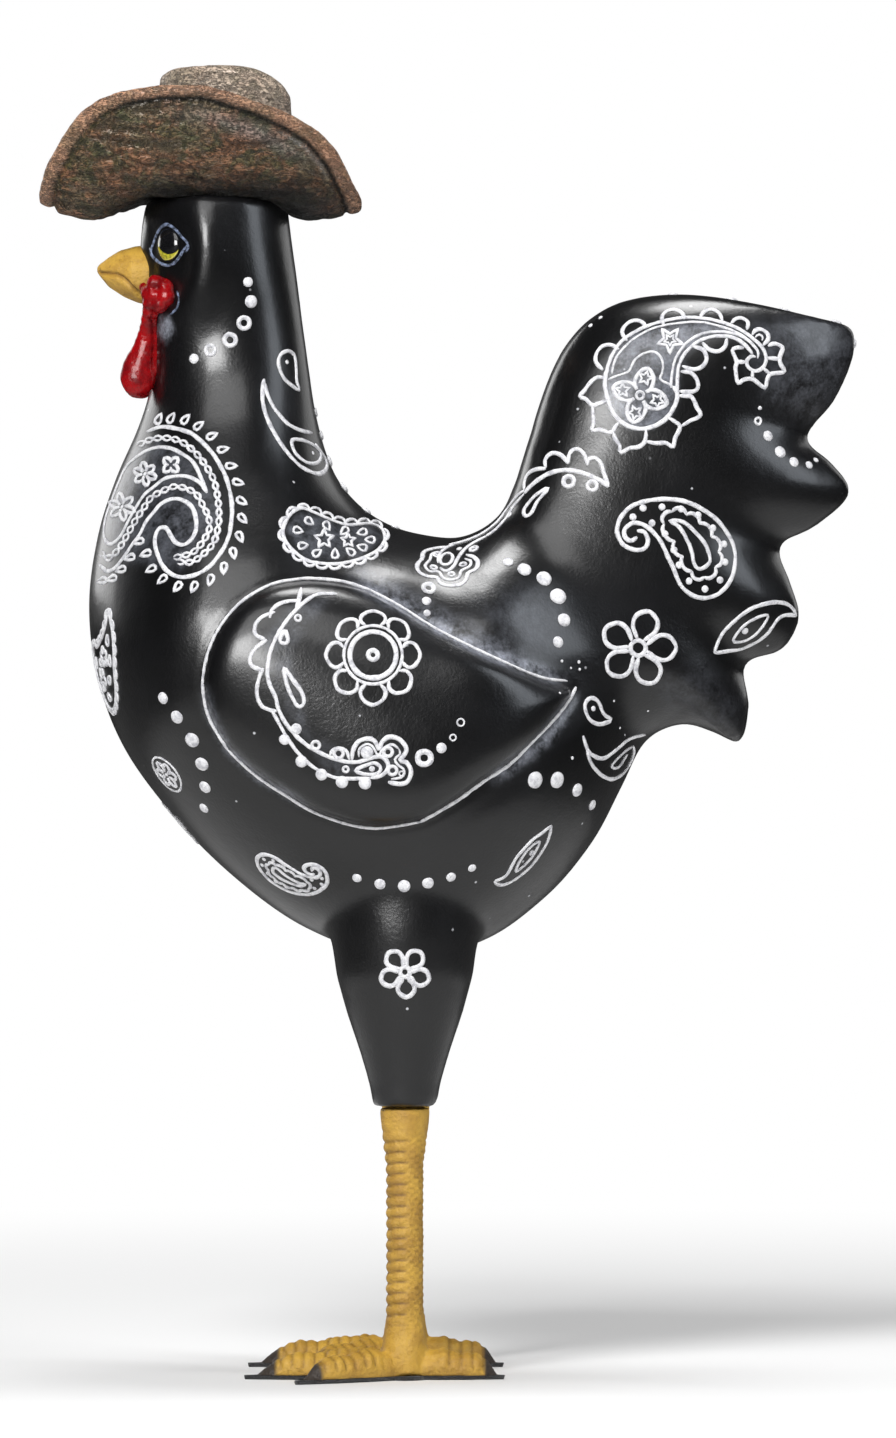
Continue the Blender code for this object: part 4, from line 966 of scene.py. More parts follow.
# The white lines
# Fine raised lines and dots of white paint squeezed from a nozzle, as scrolls, leaves and flowers like a
# printed neckerchief's. Both sides carry the same drawing, and a few motifs sit on the middle of the front
# and of the back.
LINE = 0.49
LINE_HEIGHT = 0.30
LINE_STEP = 2.6
SHEET_DISTANCE = 0.03
LONGEST_STEP = 5.0
skin = BVHTree.FromPolygons([v.co for v in body.data.vertices], [p.vertices for p in body.data.polygons])


def turned(px, py, u, v, turn):
    """A place u ahead and v across from another, where the way ahead is turned by these degrees."""
    c, s = math.cos(math.radians(turn)), math.sin(math.radians(turn))
    return px + u * c - v * s, py + u * s + v * c


class Sheet:
    """A flat sheet on which a motif is drawn, in photo pixels, before it is laid on the skin."""

    def __init__(self, about=(0, 0), to=(0, 0), scale=1.0, turn=0.0, way=None):
        self.about, self.to, self.scale, self.turn, self.way = about, to, scale, turn, way

    def lay(self, px, py):
        """The skin's point and normal under a place on the sheet, or nothing past the skin's edge."""
        ahead, across = (px - self.about[0]) * self.scale, (py - self.about[1]) * self.scale
        u, v = turned(*self.to, ahead, across, self.turn)
        if self.way:
            middle, right, up = (Vector(p) for p in self.way)
            towards = right.cross(up)
            start = (middle + (right * u - up * v) * PIXEL / MM) * MM + towards * SHEET_DISTANCE
            hit = skin.ray_cast(start, -towards)
        else:
            spot = Vector(((u - PHOTO_WIDTH / 2) * PIXEL, 0, (GROUND_ROW - v) * PIXEL))
            hit = skin.ray_cast(CAMERA_PLACE, (spot - CAMERA_PLACE).normalized())
        return (hit[0] / MM, hit[1]) if hit[0] else None


photo = Sheet()


def facing(middle, azimuth, height, scale=1.0, turn=0.0, about=(0, 0)):
    """A sheet facing the skin at a place in millimetres. Its azimuth runs from the left side to the tail."""
    a, h = math.radians(azimuth), math.radians(height)
    out = Vector((math.sin(a) * math.cos(h), -math.cos(a) * math.cos(h), math.sin(h)))
    right = Vector((0, 0, 1)).cross(out).normalized()
    return Sheet(about=about, scale=scale, turn=turn, way=(middle, right, out.cross(right)))


def squeeze(bm, spots, half_width, closed):
    """A bead of paint along points on the skin."""
    count = len(spots)
    rings = []
    for i, (at, out) in enumerate(spots):
        before = spots[i - 1] if closed or i else spots[i]
        after = spots[(i + 1) % count] if closed or i < count - 1 else spots[i]
        out = (before[1] + out * 2 + after[1]).normalized()
        across = (after[0] - before[0]).cross(out).normalized()
        swell = 1 + 0.22 * noise.noise(at * 0.45) + 0.12 * noise.noise(at * 1.7)
        if not closed:
            swell *= min(1, 0.45 + 0.4 * min(i, count - 1 - i))
        wide, high = half_width * swell, min(LINE_HEIGHT, half_width * 0.8) * (0.85 + 0.15 * swell)
        at = at + across * 0.07 * noise.noise(at * 0.9 + Vector((9, 0, 0)))
        turns = [turn + math.pi / 14 for turn in turns_round(7)]
        rings.append([at + across * wide * math.cos(a) + out * (high * math.sin(a) + 0.03) for a in turns])
    bridge_rings(bm, rings, closed)


def even_places(points, step, closed=True):
    """Places at even steps on a smooth line through the given ones."""
    return [(p.x, p.y) for p in smooth_line([(*p, 0) for p in points], step, closed)]


def draw(bm, points, closed=False, half_width=LINE, on=photo, sharp=False):
    """Lays a line through these places of a sheet on the skin. A sharp one closes and keeps its corners."""
    if sharp:
        line = []
        for (ax, ay), (bx, by) in zip(points, [*points[1:], points[0]]):
            steps = max(2, round(math.hypot(bx - ax, by - ay) / LINE_STEP))
            line += [(ax + (bx - ax) * i / steps, ay + (by - ay) * i / steps) for i in range(steps)]
    else:
        line = even_places(points, LINE_STEP, closed)
    run = []
    whole = True
    for px, py in line:
        spot = on.lay(px, py)
        near = not run or spot and (spot[0] - run[-1][0]).length < LONGEST_STEP
        if spot and near:
            run.append(spot)
            continue
        whole = False
        if len(run) > 2:
            squeeze(bm, run, half_width, False)
        run = [spot] if spot else []
    if len(run) > 2:
        squeeze(bm, run, half_width, closed and whole)


# reach and height of a dot's profile from its edge inwards, and of a hollow dot's from edge to edge
DOT_PROFILE = [(1, -0.6), (0.95, 0.3), (0.72, 0.78), (0.4, 0.97)]
HOLLOW_PROFILE = [(1.0, -0.5), (0.97, 0.25), (0.8, 0.8), (0.6, 0.95), (0.4, 0.75), (0.15, 0.1), (0.0, -0.45)]


def blob(bm, px, py, radius, hole=0.0, on=photo):
    """A dot of paint, or one with a hollow middle. The radius is in photo pixels."""
    spot = on.lay(px, py)
    if not spot:
        return
    at, out = spot
    across = out.cross(Vector((0, 0, 1))).normalized()
    up = across.cross(out).normalized()
    wide = radius * PIXEL / MM * on.scale
    rise = min(0.75, wide * 0.42)
    inner = hole * PIXEL / MM * on.scale
    if hole:
        shape = [(inner + (wide - inner) * share, height * rise * 0.8) for share, height in HOLLOW_PROFILE]
    else:
        shape = [(share * wide, height * rise) for share, height in DOT_PROFILE]
    turns = turns_round(18)
    wobble = [1 + 0.06 * noise.noise(Vector((px * 0.7, py * 0.7, 2 * math.cos(a)))) for a in turns]
    rings = []
    for size, height in shape:
        ring = []
        for a, w in zip(turns, wobble):
            ring.append(at + (across * math.cos(a) + up * math.sin(a)) * size * w + out * height)
        rings.append(ring)
    bridge_rings(bm, rings, closed=bool(hole))


def oval(px, py, rx, ry=None, turn=0.0):
    """Twelve places round a circle or an ellipse."""
    angles = [math.radians(30 * i) for i in range(12)]
    return [turned(px, py, rx * math.cos(a), (ry or rx) * math.sin(a), turn) for a in angles]


LEAF_SHAPE = [
    (-0.28, 0), (-0.18, 0.42), (0.1, 0.5), (0.42, 0.3), (0.72, 0.02), (0.42, -0.3), (0.1, -0.5),
    (-0.18, -0.42),
]


def leaf(px, py, length, width, turn):
    """A drop with its round end at a place, pointing the way it is turned."""
    return [turned(px, py, u * length, v * width, turn) for u, v in LEAF_SHAPE]


def scallops(bm, nodes, bulge, on=photo, half_width=LINE):
    """Small arches from node to node round a closed line, standing out to the left of the way they run."""
    for (ax, ay), (bx, by) in zip(nodes, [*nodes[1:], nodes[0]]):
        run = math.hypot(bx - ax, by - ay)
        ox, oy = (by - ay) / run * bulge, -(bx - ax) / run * bulge
        arch = [(ax, ay)]
        for share, high in ((0.12, 0.62), (0.35, 0.96), (0.65, 0.96), (0.88, 0.62)):
            arch.append((ax + (bx - ax) * share + ox * high, ay + (by - ay) * share + oy * high))
        draw(bm, [*arch, (bx, by)], on=on, half_width=half_width)


CHAIN_SWAY = 2.6
CHAIN_PITCH = 9.0


def chain(bm, points):
    """Two thin lines that cross to and fro like the links of a chain."""
    line = smooth_line([(*p, 0) for p in points], CHAIN_PITCH / 6)
    for side in (-1, 1):
        wave = []
        for i, at in enumerate(line):
            before, after = line[max(i - 1, 0)], line[min(i + 1, len(line) - 1)]
            along = (after - before).normalized()
            sway = side * CHAIN_SWAY * math.sin(math.pi * i / 6 + 0.3)
            wave.append((at.x - along.y * sway, at.y + along.x * sway))
        draw(bm, wave, half_width=LINE * 0.68)


def star(px, py, radius, turn=-90.0):
    """The ten corners of a star."""
    points = []
    for k in range(10):
        a = math.radians(turn + 36 * k)
        size = radius if k % 2 == 0 else radius * 0.45
        points.append((px + size * math.cos(a), py + size * math.sin(a)))
    return points


PETAL_SHAPE = [(0.0, -0.55), (0.3, -0.95), (0.72, -0.8), (1.0, 0.0), (0.72, 0.8), (0.3, 0.95), (0.0, 0.55)]


def petals(bm, px, py, inner, outer, count, width, turn, on=photo):
    """A ring of loops round a middle."""
    for k in range(count):
        loop = []
        for share, side in PETAL_SHAPE:
            reach = inner + (outer - inner) * share
            loop.append(turned(px, py, reach, side * width, turn + 360 * k / count))
        draw(bm, loop, on=on)


def daisy(bm, px, py):
    """Eight petals round two rings and a dot."""
    blob(bm, px, py, 7.3, hole=1.6)
    draw(bm, oval(px, py, 23.2), closed=True, half_width=LINE * 1.25)
    draw(bm, oval(px, py, 29.2), closed=True, half_width=LINE * 0.8)
    for k in range(8):
        turn = 45 * k - 90
        petals(bm, px, py, 29.5, 47 + 3 * math.sin(math.radians(turn)), 1, 13.0, turn)


BLOSSOM_PETAL = [(8.5, -3.0), (20, -11.5), (31, -11), (38, 0), (31, 11), (20, 11.5), (8.5, 3.0)]
BLOSSOM_TURNS = (-73, -1, 66, 140, 210)


def blossom(bm, px, py, on=photo):
    """Five round petals that meet at a ring."""
    draw(bm, oval(px, py, 7.6), closed=True, on=on, half_width=LINE * 1.15)
    for turn in BLOSSOM_TURNS:
        petal = [turned(px, py, reach, side, turn) for reach, side in BLOSSOM_PETAL]
        draw(bm, petal, on=on, half_width=LINE * 1.15)


CURL_MIDDLE = (676, 549)
CURL_EDGE = [
    (637, 537), (631, 541), (625, 537), (625, 529), (633, 523), (644, 525), (654, 533), (662, 544),
    (668, 557), (674, 570), (680, 584), (690, 594), (702, 598), (714, 596), (724, 589), (732, 577),
    (735, 562), (734, 548), (727, 533), (716, 519), (700, 508), (683, 501), (664, 499), (647, 501),
    (632, 506), (621, 517), (617, 529), (619, 538), (625, 546), (636, 550), (645, 548), (648, 540),
    (644, 532), (637, 531),
]
CURL_DOTS = [
    (643, 508), (662, 507), (681, 509), (698, 515), (713, 528), (724, 544), (725, 562), (720, 580),
    (705, 589), (689, 581), (679, 565), (674, 550), (665, 534), (652, 523), (633, 517),
]
CURL_DROP = [
    (670, 521), (683, 522), (696, 533), (706, 546), (710, 560), (706, 566), (699, 569), (694, 564),
    (692, 553), (687, 540), (679, 527),
]
CURL_RIM = [
    (664, 524), (672, 512), (686, 515), (699, 524), (711, 537), (718, 552), (715, 567), (704, 577),
    (692, 571), (683, 556), (675, 541),
]


def curled_paisley(bm, on=photo):
    """A paisley with a curled tip, with dots inside its edge and a scalloped drop in the middle."""
    draw(bm, CURL_EDGE, on=on, half_width=LINE * 1.1)
    for px, py in CURL_DOTS:
        blob(bm, px, py, 3.7, on=on)
    draw(bm, CURL_DROP, closed=True, on=on)
    scallops(bm, CURL_RIM, 5.5, on=on)


PLAIN_LEAF_MIDDLE = (755, 628)
LEAF_TOP = [(714, 653), (719, 640), (726, 629), (747, 611), (768, 603), (784, 603), (793, 609), (796, 616)]
LEAF_BOTTOM = [(796, 616), (789, 615), (779, 618), (765, 636), (744, 648), (728, 651), (714, 653)]
INNER_LEAF = [(733, 640), (747, 623), (768, 615), (758, 632), (744, 641)]


def plain_leaf(bm, on=photo):
    """A pointed leaf with a smaller one and a dot inside it."""
    draw(bm, LEAF_TOP, on=on)
    draw(bm, LEAF_BOTTOM, on=on)
    draw(bm, INNER_LEAF, closed=True, on=on, half_width=LINE * 0.8)
    blob(bm, 745, 631, 3.6, on=on)


def blobs(bm, places, on=photo):
    """Dots of paint: each one's place, its radius and, if it is hollow, the radius of its middle."""
    for px, py, *sizes in places:
        blob(bm, px, py, *sizes, on=on)


def draw_rows(bm, rows, closed=False):
    """Named lines, each with its width as a share of a plain line's, and its places."""
    for share, points in rows.values():
        draw(bm, points, closed, LINE * share)


PALE_WHITE = (0.76, 0.76, 0.78)
THIN_WHITE = (0.38, 0.38, 0.42)
RUBBED_GREY = (0.16, 0.16, 0.18)
off_white = Finish("off white line paint", specular_ior_level=0.4)
thin_paint = off_white.cloudy(0.0016, 4.0, 0.6).between(0.44, 0.7)
rubbed = off_white.cloudy(0.0005, 3.0, 0.6).between(0.56, 0.72)
colour = off_white.mix(thin_paint * 0.75, PALE_WHITE, THIN_WHITE)
off_white.set(
    base_color=off_white.mix(rubbed * 0.5, colour, RUBBED_GREY),
    roughness=0.5 + thin_paint * 0.15,
    normal=off_white.bump(off_white.cloudy(0.0006), 0.00015),
)


def finish_lines(name, bm, middle=False):
    """Makes the left side's lines a piece, and copies it to the right side, unless they lie on the middle."""
    drawn = mesh_object(name if middle else f"left_{name}", bm)
    drawn.data.shade_smooth()
    drawn.data.materials.append(off_white.material)
    for obj in (drawn,) if middle else (drawn, mirrored(drawn, f"right_{name}")):
        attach(obj, "root")


# Lines on the neck
# Six dots in a curve below the face, a drop, and a long leaf that runs down towards the back.
NECK_DOTS = [
    (248, 282, 5.2), (251, 301.5, 6.6), (194, 358.7, 5.2), (244, 323, 8, 2.6), (230, 340, 8.2, 2.8),
    (210.3, 350.2, 6.8, 2.2), (287, 362, 2.3), (313, 453, 2.0),
]
NECK_LOOPS = {
    "drop": (1, [
        (287, 351), (280, 355.5), (278.4, 364), (283, 377), (291, 385), (299, 390), (296.5, 380), (296, 367),
        (294, 355),
    ]),
    "drop in the leaf": (1, [
        (292, 440), (294, 451), (300, 458), (308, 463), (317, 463), (321, 456), (317, 448), (305, 441),
    ]),
}
NECK_LINES = {
    "leaf": (1.2, [
        (264, 379), (262.5, 392), (263, 404), (267, 418), (272, 429), (281, 444), (291, 457), (300, 466),
        (309, 471), (318, 474), (325, 471), (327, 464), (323, 455), (315, 444),
    ]),
    "back of the leaf": (1.1, [
        (264, 382), (268, 396), (274, 408), (281, 417), (288, 424), (299, 430), (312, 433),
    ]),
}
ink = bmesh.new()
blobs(ink, NECK_DOTS)
draw_rows(ink, NECK_LOOPS, closed=True)
draw_rows(ink, NECK_LINES)
finish_lines("neck_lines", ink)

# Lines on the breast
# A large paisley, edged by leaves and a chain, that curls round a second one like a hook. A moon-shaped one
# and a flower sit lower down, further round the front.
BREAST_LINES = {
    "outer edge": (1.1, [
        (147, 432), (161, 427), (177, 429), (192, 434), (205, 445), (215, 457), (224, 473), (229, 488),
        (232, 506), (231, 524), (228, 539), (220, 554), (209, 567), (195, 575), (179, 577), (166, 570),
        (159, 558), (155, 544), (156, 534), (160, 528), (166, 528), (170, 534), (175, 542), (183, 545),
        (191, 540), (196, 530), (196, 519), (192, 507), (182, 500), (172, 499), (161, 504), (154, 512),
        (146, 522), (140, 534), (132, 545), (124, 557), (115, 568), (107, 571), (99, 564),
    ]),
    "upper fold": (1, [
        (112, 500), (119, 482), (127, 466), (141, 454), (154, 448), (169, 448), (182, 454), (195, 465),
        (207, 493),
    ]),
    "lower drop": (1, [
        (207, 493), (200, 483), (189, 477), (177, 476), (164, 479), (154, 487), (145, 494), (137, 506),
        (129, 520), (122, 534), (115, 542), (109, 544), (104, 535), (106, 517), (112, 500),
    ]),
}
OUTER_CHAIN = [
    (138, 446), (147, 441), (161, 438), (177, 440), (189, 447), (201, 459), (209, 471), (215, 484),
    (218, 500), (219, 515), (218, 528), (214, 542), (205, 553), (192, 562), (178, 562),
]
INNER_CHAIN = [
    (174, 558), (192, 553), (202, 543), (209, 530), (209, 519), (203, 506), (196, 494), (184, 488),
    (173, 487), (161, 492), (151, 498), (144, 508), (136, 520), (128, 534), (119, 549), (109, 558),
    (101, 553),
]
PAISLEY_MIDDLE = (178, 505)
LEAVES_ROUND = [
    (158, 421), (170, 420), (184, 421), (197, 427), (210, 437), (221, 450), (229, 466), (236, 482),
    (240, 500), (241, 517), (239, 535), (233, 551), (224, 566), (211, 578), (195, 585), (179, 585),
    (164, 578), (153, 568), (148, 553),
]
LEAVES_BELOW = [(141, 541), (132, 557), (123, 569), (114, 578), (104, 580)]
BREAST_FLOWERS = [(145, 474, 12), (122, 507, 14)]
BREAST_DOTS = [
    (163, 698, 6.2), (177, 717, 7.0), (192, 740, 7.8), (202, 764, 7.6), (205, 787, 6.8), (204, 808, 5.6),
]
# places about the middle of a sheet that is held square to the skin
MOON = [
    (33, -50), (40, -37), (44, -26), (44, -10), (40, 4), (35, 21), (28, 34), (15, 45), (-2, 49), (-18, 44),
    (-30, 31), (-37, 14), (-37, -3), (-31, -14), (-20, -17), (-8, -14), (5, -18), (19, -26), (28, -37),
]
# place and turn
MOON_LEAVES = [
    (-22, 0, 80), (-18, 24, 50), (2, 36, 10), (18, 20, -30), (30, 2, -70), (30, -18, -80), (0, 2, 0),
]
moon_sheet = facing((-80, -15, 166), -68, 0)
flower_sheet = facing((-68, -26, 138), -58, -25)
ink = bmesh.new()
draw_rows(ink, BREAST_LINES)
chain(ink, OUTER_CHAIN)
chain(ink, INNER_CHAIN)
for px, py in LEAVES_ROUND:
    away = math.degrees(math.atan2(py - PAISLEY_MIDDLE[1], px - PAISLEY_MIDDLE[0]))
    draw(ink, leaf(px, py, 11, 5.8, away + 38), closed=True, half_width=LINE * 0.8)
for px, py in LEAVES_BELOW:
    draw(ink, leaf(px, py, 10, 5.6, 160), closed=True, half_width=LINE * 0.8)
for px, py, size in BREAST_FLOWERS:
    petals(ink, px, py, 2.0, size, 6, 3.2, 20)
    blob(ink, px, py, 2.4)
petals(ink, 171, 465, 1.5, 9.5, 4, 3.4, 45)
blobs(ink, BREAST_DOTS)
draw(ink, MOON, closed=True, on=moon_sheet, half_width=LINE * 1.1)
scallops(ink, even_places(MOON, 12.0), 5.0, on=moon_sheet, half_width=LINE * 0.85)
for u, v, turn in MOON_LEAVES:
    draw(ink, leaf(u, v, 11, 7, turn), closed=True, on=moon_sheet, half_width=LINE * 0.75)
petals(ink, -4, 18, 2.5, 11, 5, 3.6, 20, moon_sheet)
petals(ink, 15, -4, 2.5, 10, 5, 3.4, 50, moon_sheet)
petals(ink, 0, 0, 3.0, 15, 6, 4.4, 12, flower_sheet)
draw(ink, oval(0, 0, 20), closed=True, on=flower_sheet, half_width=LINE * 0.6)
blob(ink, 0, 0, 2.6, on=flower_sheet)
finish_lines("breast_lines", ink)

# Lines below the neck
# A paisley with a scalloped edge on the shoulder, filled with stars and small drops.
SHOULDER_EDGE = [
    (283, 529), (289, 516), (300, 508), (313, 512), (334, 521), (349, 525), (368, 523.5), (381, 528),
    (385, 539), (378, 550), (360, 559), (336, 564), (310, 561.5), (294.6, 552), (285, 540),
]
# place, radius and width of the line
SHOULDER_STARS = [(324, 539, 10, 0.8), (348, 540.5, 7.5, 0.7)]
SHOULDER_MIDDLE = (335, 540)
SHOULDER_LEAVES = [
    (307.7, 520.4), (296, 530), (326, 524.5), (345.6, 530), (301, 546), (315.5, 554), (335, 555.7),
    (352, 553), (364, 548), (372, 540), (364, 532),
]
ink = bmesh.new()
draw(ink, SHOULDER_EDGE, closed=True)
scallops(ink, even_places(SHOULDER_EDGE, 12.5), 5.2, half_width=LINE * 0.9)
for px, py, radius, share in SHOULDER_STARS:
    draw(ink, star(px, py, radius), closed=True, sharp=True, half_width=LINE * share)
for px, py in SHOULDER_LEAVES:
    toward = math.degrees(math.atan2(SHOULDER_MIDDLE[1] - py, SHOULDER_MIDDLE[0] - px))
    draw(ink, leaf(px, py, 9.5, 6.5, toward), closed=True, half_width=LINE * 0.7)
finish_lines("shoulder_lines", ink)

# Lines on the wing
# A line in the crease round the wing, a daisy in its middle and a scalloped crescent before it.
DAISY_MIDDLE = (373, 655)
WING_LINES = {
    "front of the wing": (0.9, WING_EDGE[6:17]),
    "top of the wing": (0.7, [(567, 681), *WING_EDGE[1:7]]),
    "bottom of the wing": (0.8, WING_EDGE[16:22]),
    "back of the wing": (1, [
        (576, 687), (570, 698.6), (558.6, 714.3), (544.3, 730), (530, 744.3), *reversed(WING_EDGE[21:25]),
    ]),
    "crescent": (1, [
        (337, 594), (316, 595), (298, 608), (281, 629), (270, 653), (268, 678), (275.7, 698), (279.3, 710.7),
        (288, 726.4), (305, 743.6), (325, 755), (342, 760.7), (356.4, 762), (370.7, 758), (380.7, 756.4),
        (386.4, 760.7), (388, 768), (382, 775), (371, 778),
    ]),
    "crescent's tip": (1.1, [(301, 588), (299, 600), (296, 610)]),
    "first scallop": (1, [(301, 601), (290, 601), (279, 604), (271.5, 611), (270, 618)]),
    "second scallop": (1, [(275, 612), (262, 617), (255, 626), (256, 635), (266, 640)]),
    "third scallop": (1, [(267, 640), (257, 647), (250.5, 657), (252, 666), (263, 670)]),
    "fourth scallop": (1, [(263, 668), (258.5, 680), (257, 693.7), (261, 705), (270, 710), (277, 711)]),
    "crescent's back": (0.9, [
        (272, 711), (279.3, 723.6), (286.4, 736.4), (296.4, 750.7), (310.7, 765), (325, 773.6), (338, 778),
        (353.6, 778.6), (371, 778),
    ]),
    "hood of a dot": (0.8, [(330, 757), (332, 750.5), (338.6, 748), (346, 750.5), (349.5, 760)]),
    "cloud": (1.1, [
        (352, 760), (353, 750.7), (358, 742), (368, 738.4), (375, 741.5), (379.5, 750), (382, 742),
        (389.3, 737), (399, 739), (406, 747), (405, 754), (400, 760.5), (406.4, 762.5), (411, 771),
        (408, 780.7), (400.7, 784), (388, 782),
    ]),
    "inside of the cloud": (0.6, [
        (359, 757), (359.5, 749), (366.4, 744), (373, 747), (378, 755), (384, 748), (392, 744.5), (399, 749),
    ]),
    "end of the cloud": (0.6, [
        (399, 749), (400, 754), (395, 759), (398, 765), (404, 770), (402, 777), (391, 779),
    ]),
}
WING_LOOPS = {
    "upper drop": (1, leaf(284, 640, 13, 8, -85)),
    "lower drop": (1, [
        (284, 668), (286.5, 683), (292, 697), (298.5, 706.5), (304, 703), (302, 693), (293, 680),
    ]),
    "end drop": (0.9, [(355.7, 770.7), (366.4, 765), (375, 763), (380.7, 767.5), (378, 773), (368, 774.5)]),
}
WING_DOTS = [
    (296, 729, 5.8), (284.5, 739.5, 5.6), (301.5, 761.5, 6.2), (321.5, 774.5, 6.2), (342, 782, 6.4),
    (365, 783, 6.4), (315.7, 745.2, 5.6, 1.6), (338.6, 753.5, 6.4, 2.2), (298, 618, 4.4, 1.2),
    (367, 752.5, 6.6), (388, 752, 6.2, 2.0), (392.5, 770.5, 6.0, 2.0), (401.5, 773.6, 3.2, 1.2),
    (345.7, 769.3, 4.0, 1.0), (372, 768.8, 3.0), (424.3, 758, 9.5, 2.8), (441.4, 748, 5.3),
    (453, 737.6, 3.9, 1.9), (460.7, 722.4, 4.4, 2.3),
]
ink = bmesh.new()
daisy(ink, *DAISY_MIDDLE)
draw_rows(ink, WING_LINES)
draw_rows(ink, WING_LOOPS, closed=True)
blobs(ink, WING_DOTS)
finish_lines("wing_lines", ink)

# Lines under the wing
# Guessed, where the photograph ends: a small curled paisley, a leaf and dots on the belly, and a blossom on
# the thigh.
THIGH_BLOSSOM = (405, 972)
BELLY_DOTS = [
    (357, 878, 5.0), (380, 884, 5.8), (404, 886, 6.4), (428, 883, 6.0), (451, 877, 5.2), (472, 868, 4.4),
]
ink = bmesh.new()
curled_paisley(ink, facing((-38, -34, 113), -22, -38, 0.62, 150, about=CURL_MIDDLE))
plain_leaf(ink, facing((20, -34, 116), 22, -34, 0.85, 160, about=PLAIN_LEAF_MIDDLE))
blossom(ink, 0, 0, Sheet(to=THIGH_BLOSSOM, scale=0.66, turn=20))
blobs(ink, BELLY_DOTS)
finish_lines("belly_lines", ink)

# Lines on the middle of the front and back
# Guessed, since the photograph shows one side: a blossom low on the breast, and rows of dots down the nape
# and down the tail's back edge.
ROW_OF_DOTS = [(0, -66, 4.4), (0, -42, 5.4), (0, -15, 6.4), (0, 15, 6.8), (0, 45, 6.0), (0, 71, 5.0)]
nape = facing((-20, 0, 212), 90, 22)
tail_back = facing((75, 0, 250), 90, 22)
ink = bmesh.new()
blossom(ink, 0, 0, facing((-80, 0, 118), -90, -30, 0.7))
for sheet in (nape, tail_back):
    blobs(ink, ROW_OF_DOTS, sheet)
finish_lines("middle_lines", ink, middle=True)

# Lines on the saddle and rump
# A cluster on the saddle whose stalk climbs the tail to a row of scallops, and a curve of dots.
SADDLE_LINES = {
    "cluster": (1.1, [
        (447, 547), (434, 548.6), (424, 552), (422, 559), (417, 565), (419, 572), (428, 576.5), (437, 577.5),
        (440, 583), (449.3, 585.7), (460.7, 584.3), (466.4, 579), (468, 573), (476, 569), (478, 562),
        (473.6, 557), (466.4, 555),
    ]),
    "inside of the cluster": (0.8, [
        (441, 552), (432, 554), (430, 560), (425, 566), (430, 571.5), (439, 572), (443, 578), (451, 580),
        (459, 577.5), (461, 571), (469, 567), (471, 561.5), (465, 559),
    ]),
    "hook": (0.9, [(438, 563), (439, 555), (446, 548), (455, 544.5)]),
    "bud's stalk": (1.05, [
        (440, 568), (446, 571), (453, 567), (458, 558), (465, 549), (475, 542), (486, 536.5),
    ]),
    "stalk": (0.95, [
        (449, 545), (463, 541.5), (475, 537), (486, 531), (498, 521), (509, 506.5), (518, 495),
        (524.5, 490.5),
    ]),
    "back of the stalk": (0.85, [(486, 536.5), (495, 530), (500, 525), (507, 517), (514, 506), (524, 494)]),
    "crescent": (1.2, [
        (524.3, 493.6), (532, 485), (545, 475.5), (559.3, 470.8), (573.6, 470.8), (588, 475), (600.7, 480.7),
        (608.6, 487),
    ]),
    "first scallop": (1.05, [(524.3, 490), (524.5, 482), (528, 474), (536, 469.5), (546, 468.5)]),
    "second scallop": (1.05, [(546, 468), (545, 461), (548, 455.5), (555, 453), (562, 456), (568.6, 463.6)]),
    "third scallop": (1.05, [(568.6, 463.6), (568.8, 456), (573, 450), (580, 450), (585, 456), (587.5, 466)]),
    "fourth scallop": (1.05, [
        (587.5, 466), (588.6, 459.5), (594.5, 457.8), (600.5, 463), (604.3, 474), (608.6, 487),
    ]),
}
SADDLE_LOOPS = {
    "bud": (0.9, oval(446.4, 559, 6.8, 5.4, turn=-35)),
    "drop": (1, [
        (548, 488.6), (538, 493.6), (529.3, 502), (523.8, 510.5), (525, 516), (529.5, 515), (533.6, 509),
        (538, 500.5),
    ]),
}
SADDLE_DOTS = [
    (433.6, 567.5, 4.4, 1.5), (451.4, 574.3, 4.4, 1.5), (463, 564.5, 4.4, 1.5), (436, 555.5, 3.6, 1.2),
    (459.3, 548.8, 3.2), (473.6, 549, 5.6, 1.8), (509.3, 515, 3.4, 1.2), (568.6, 481.4, 7.8, 2.2),
    (592, 485.8, 6.8, 2.0), (428.6, 588, 7.8, 2.2), (426.7, 601, 5.0), (427.1, 613, 3.8), (508, 562, 5.6),
    (524.3, 569.6, 7.4), (544, 578.6, 8.2), (558, 596.4, 8.6), (564, 620, 7.0), (558, 642, 5.9),
]
ink = bmesh.new()
draw_rows(ink, SADDLE_LINES)
draw_rows(ink, SADDLE_LOOPS, closed=True)
blobs(ink, SADDLE_DOTS)
finish_lines("saddle_lines", ink)

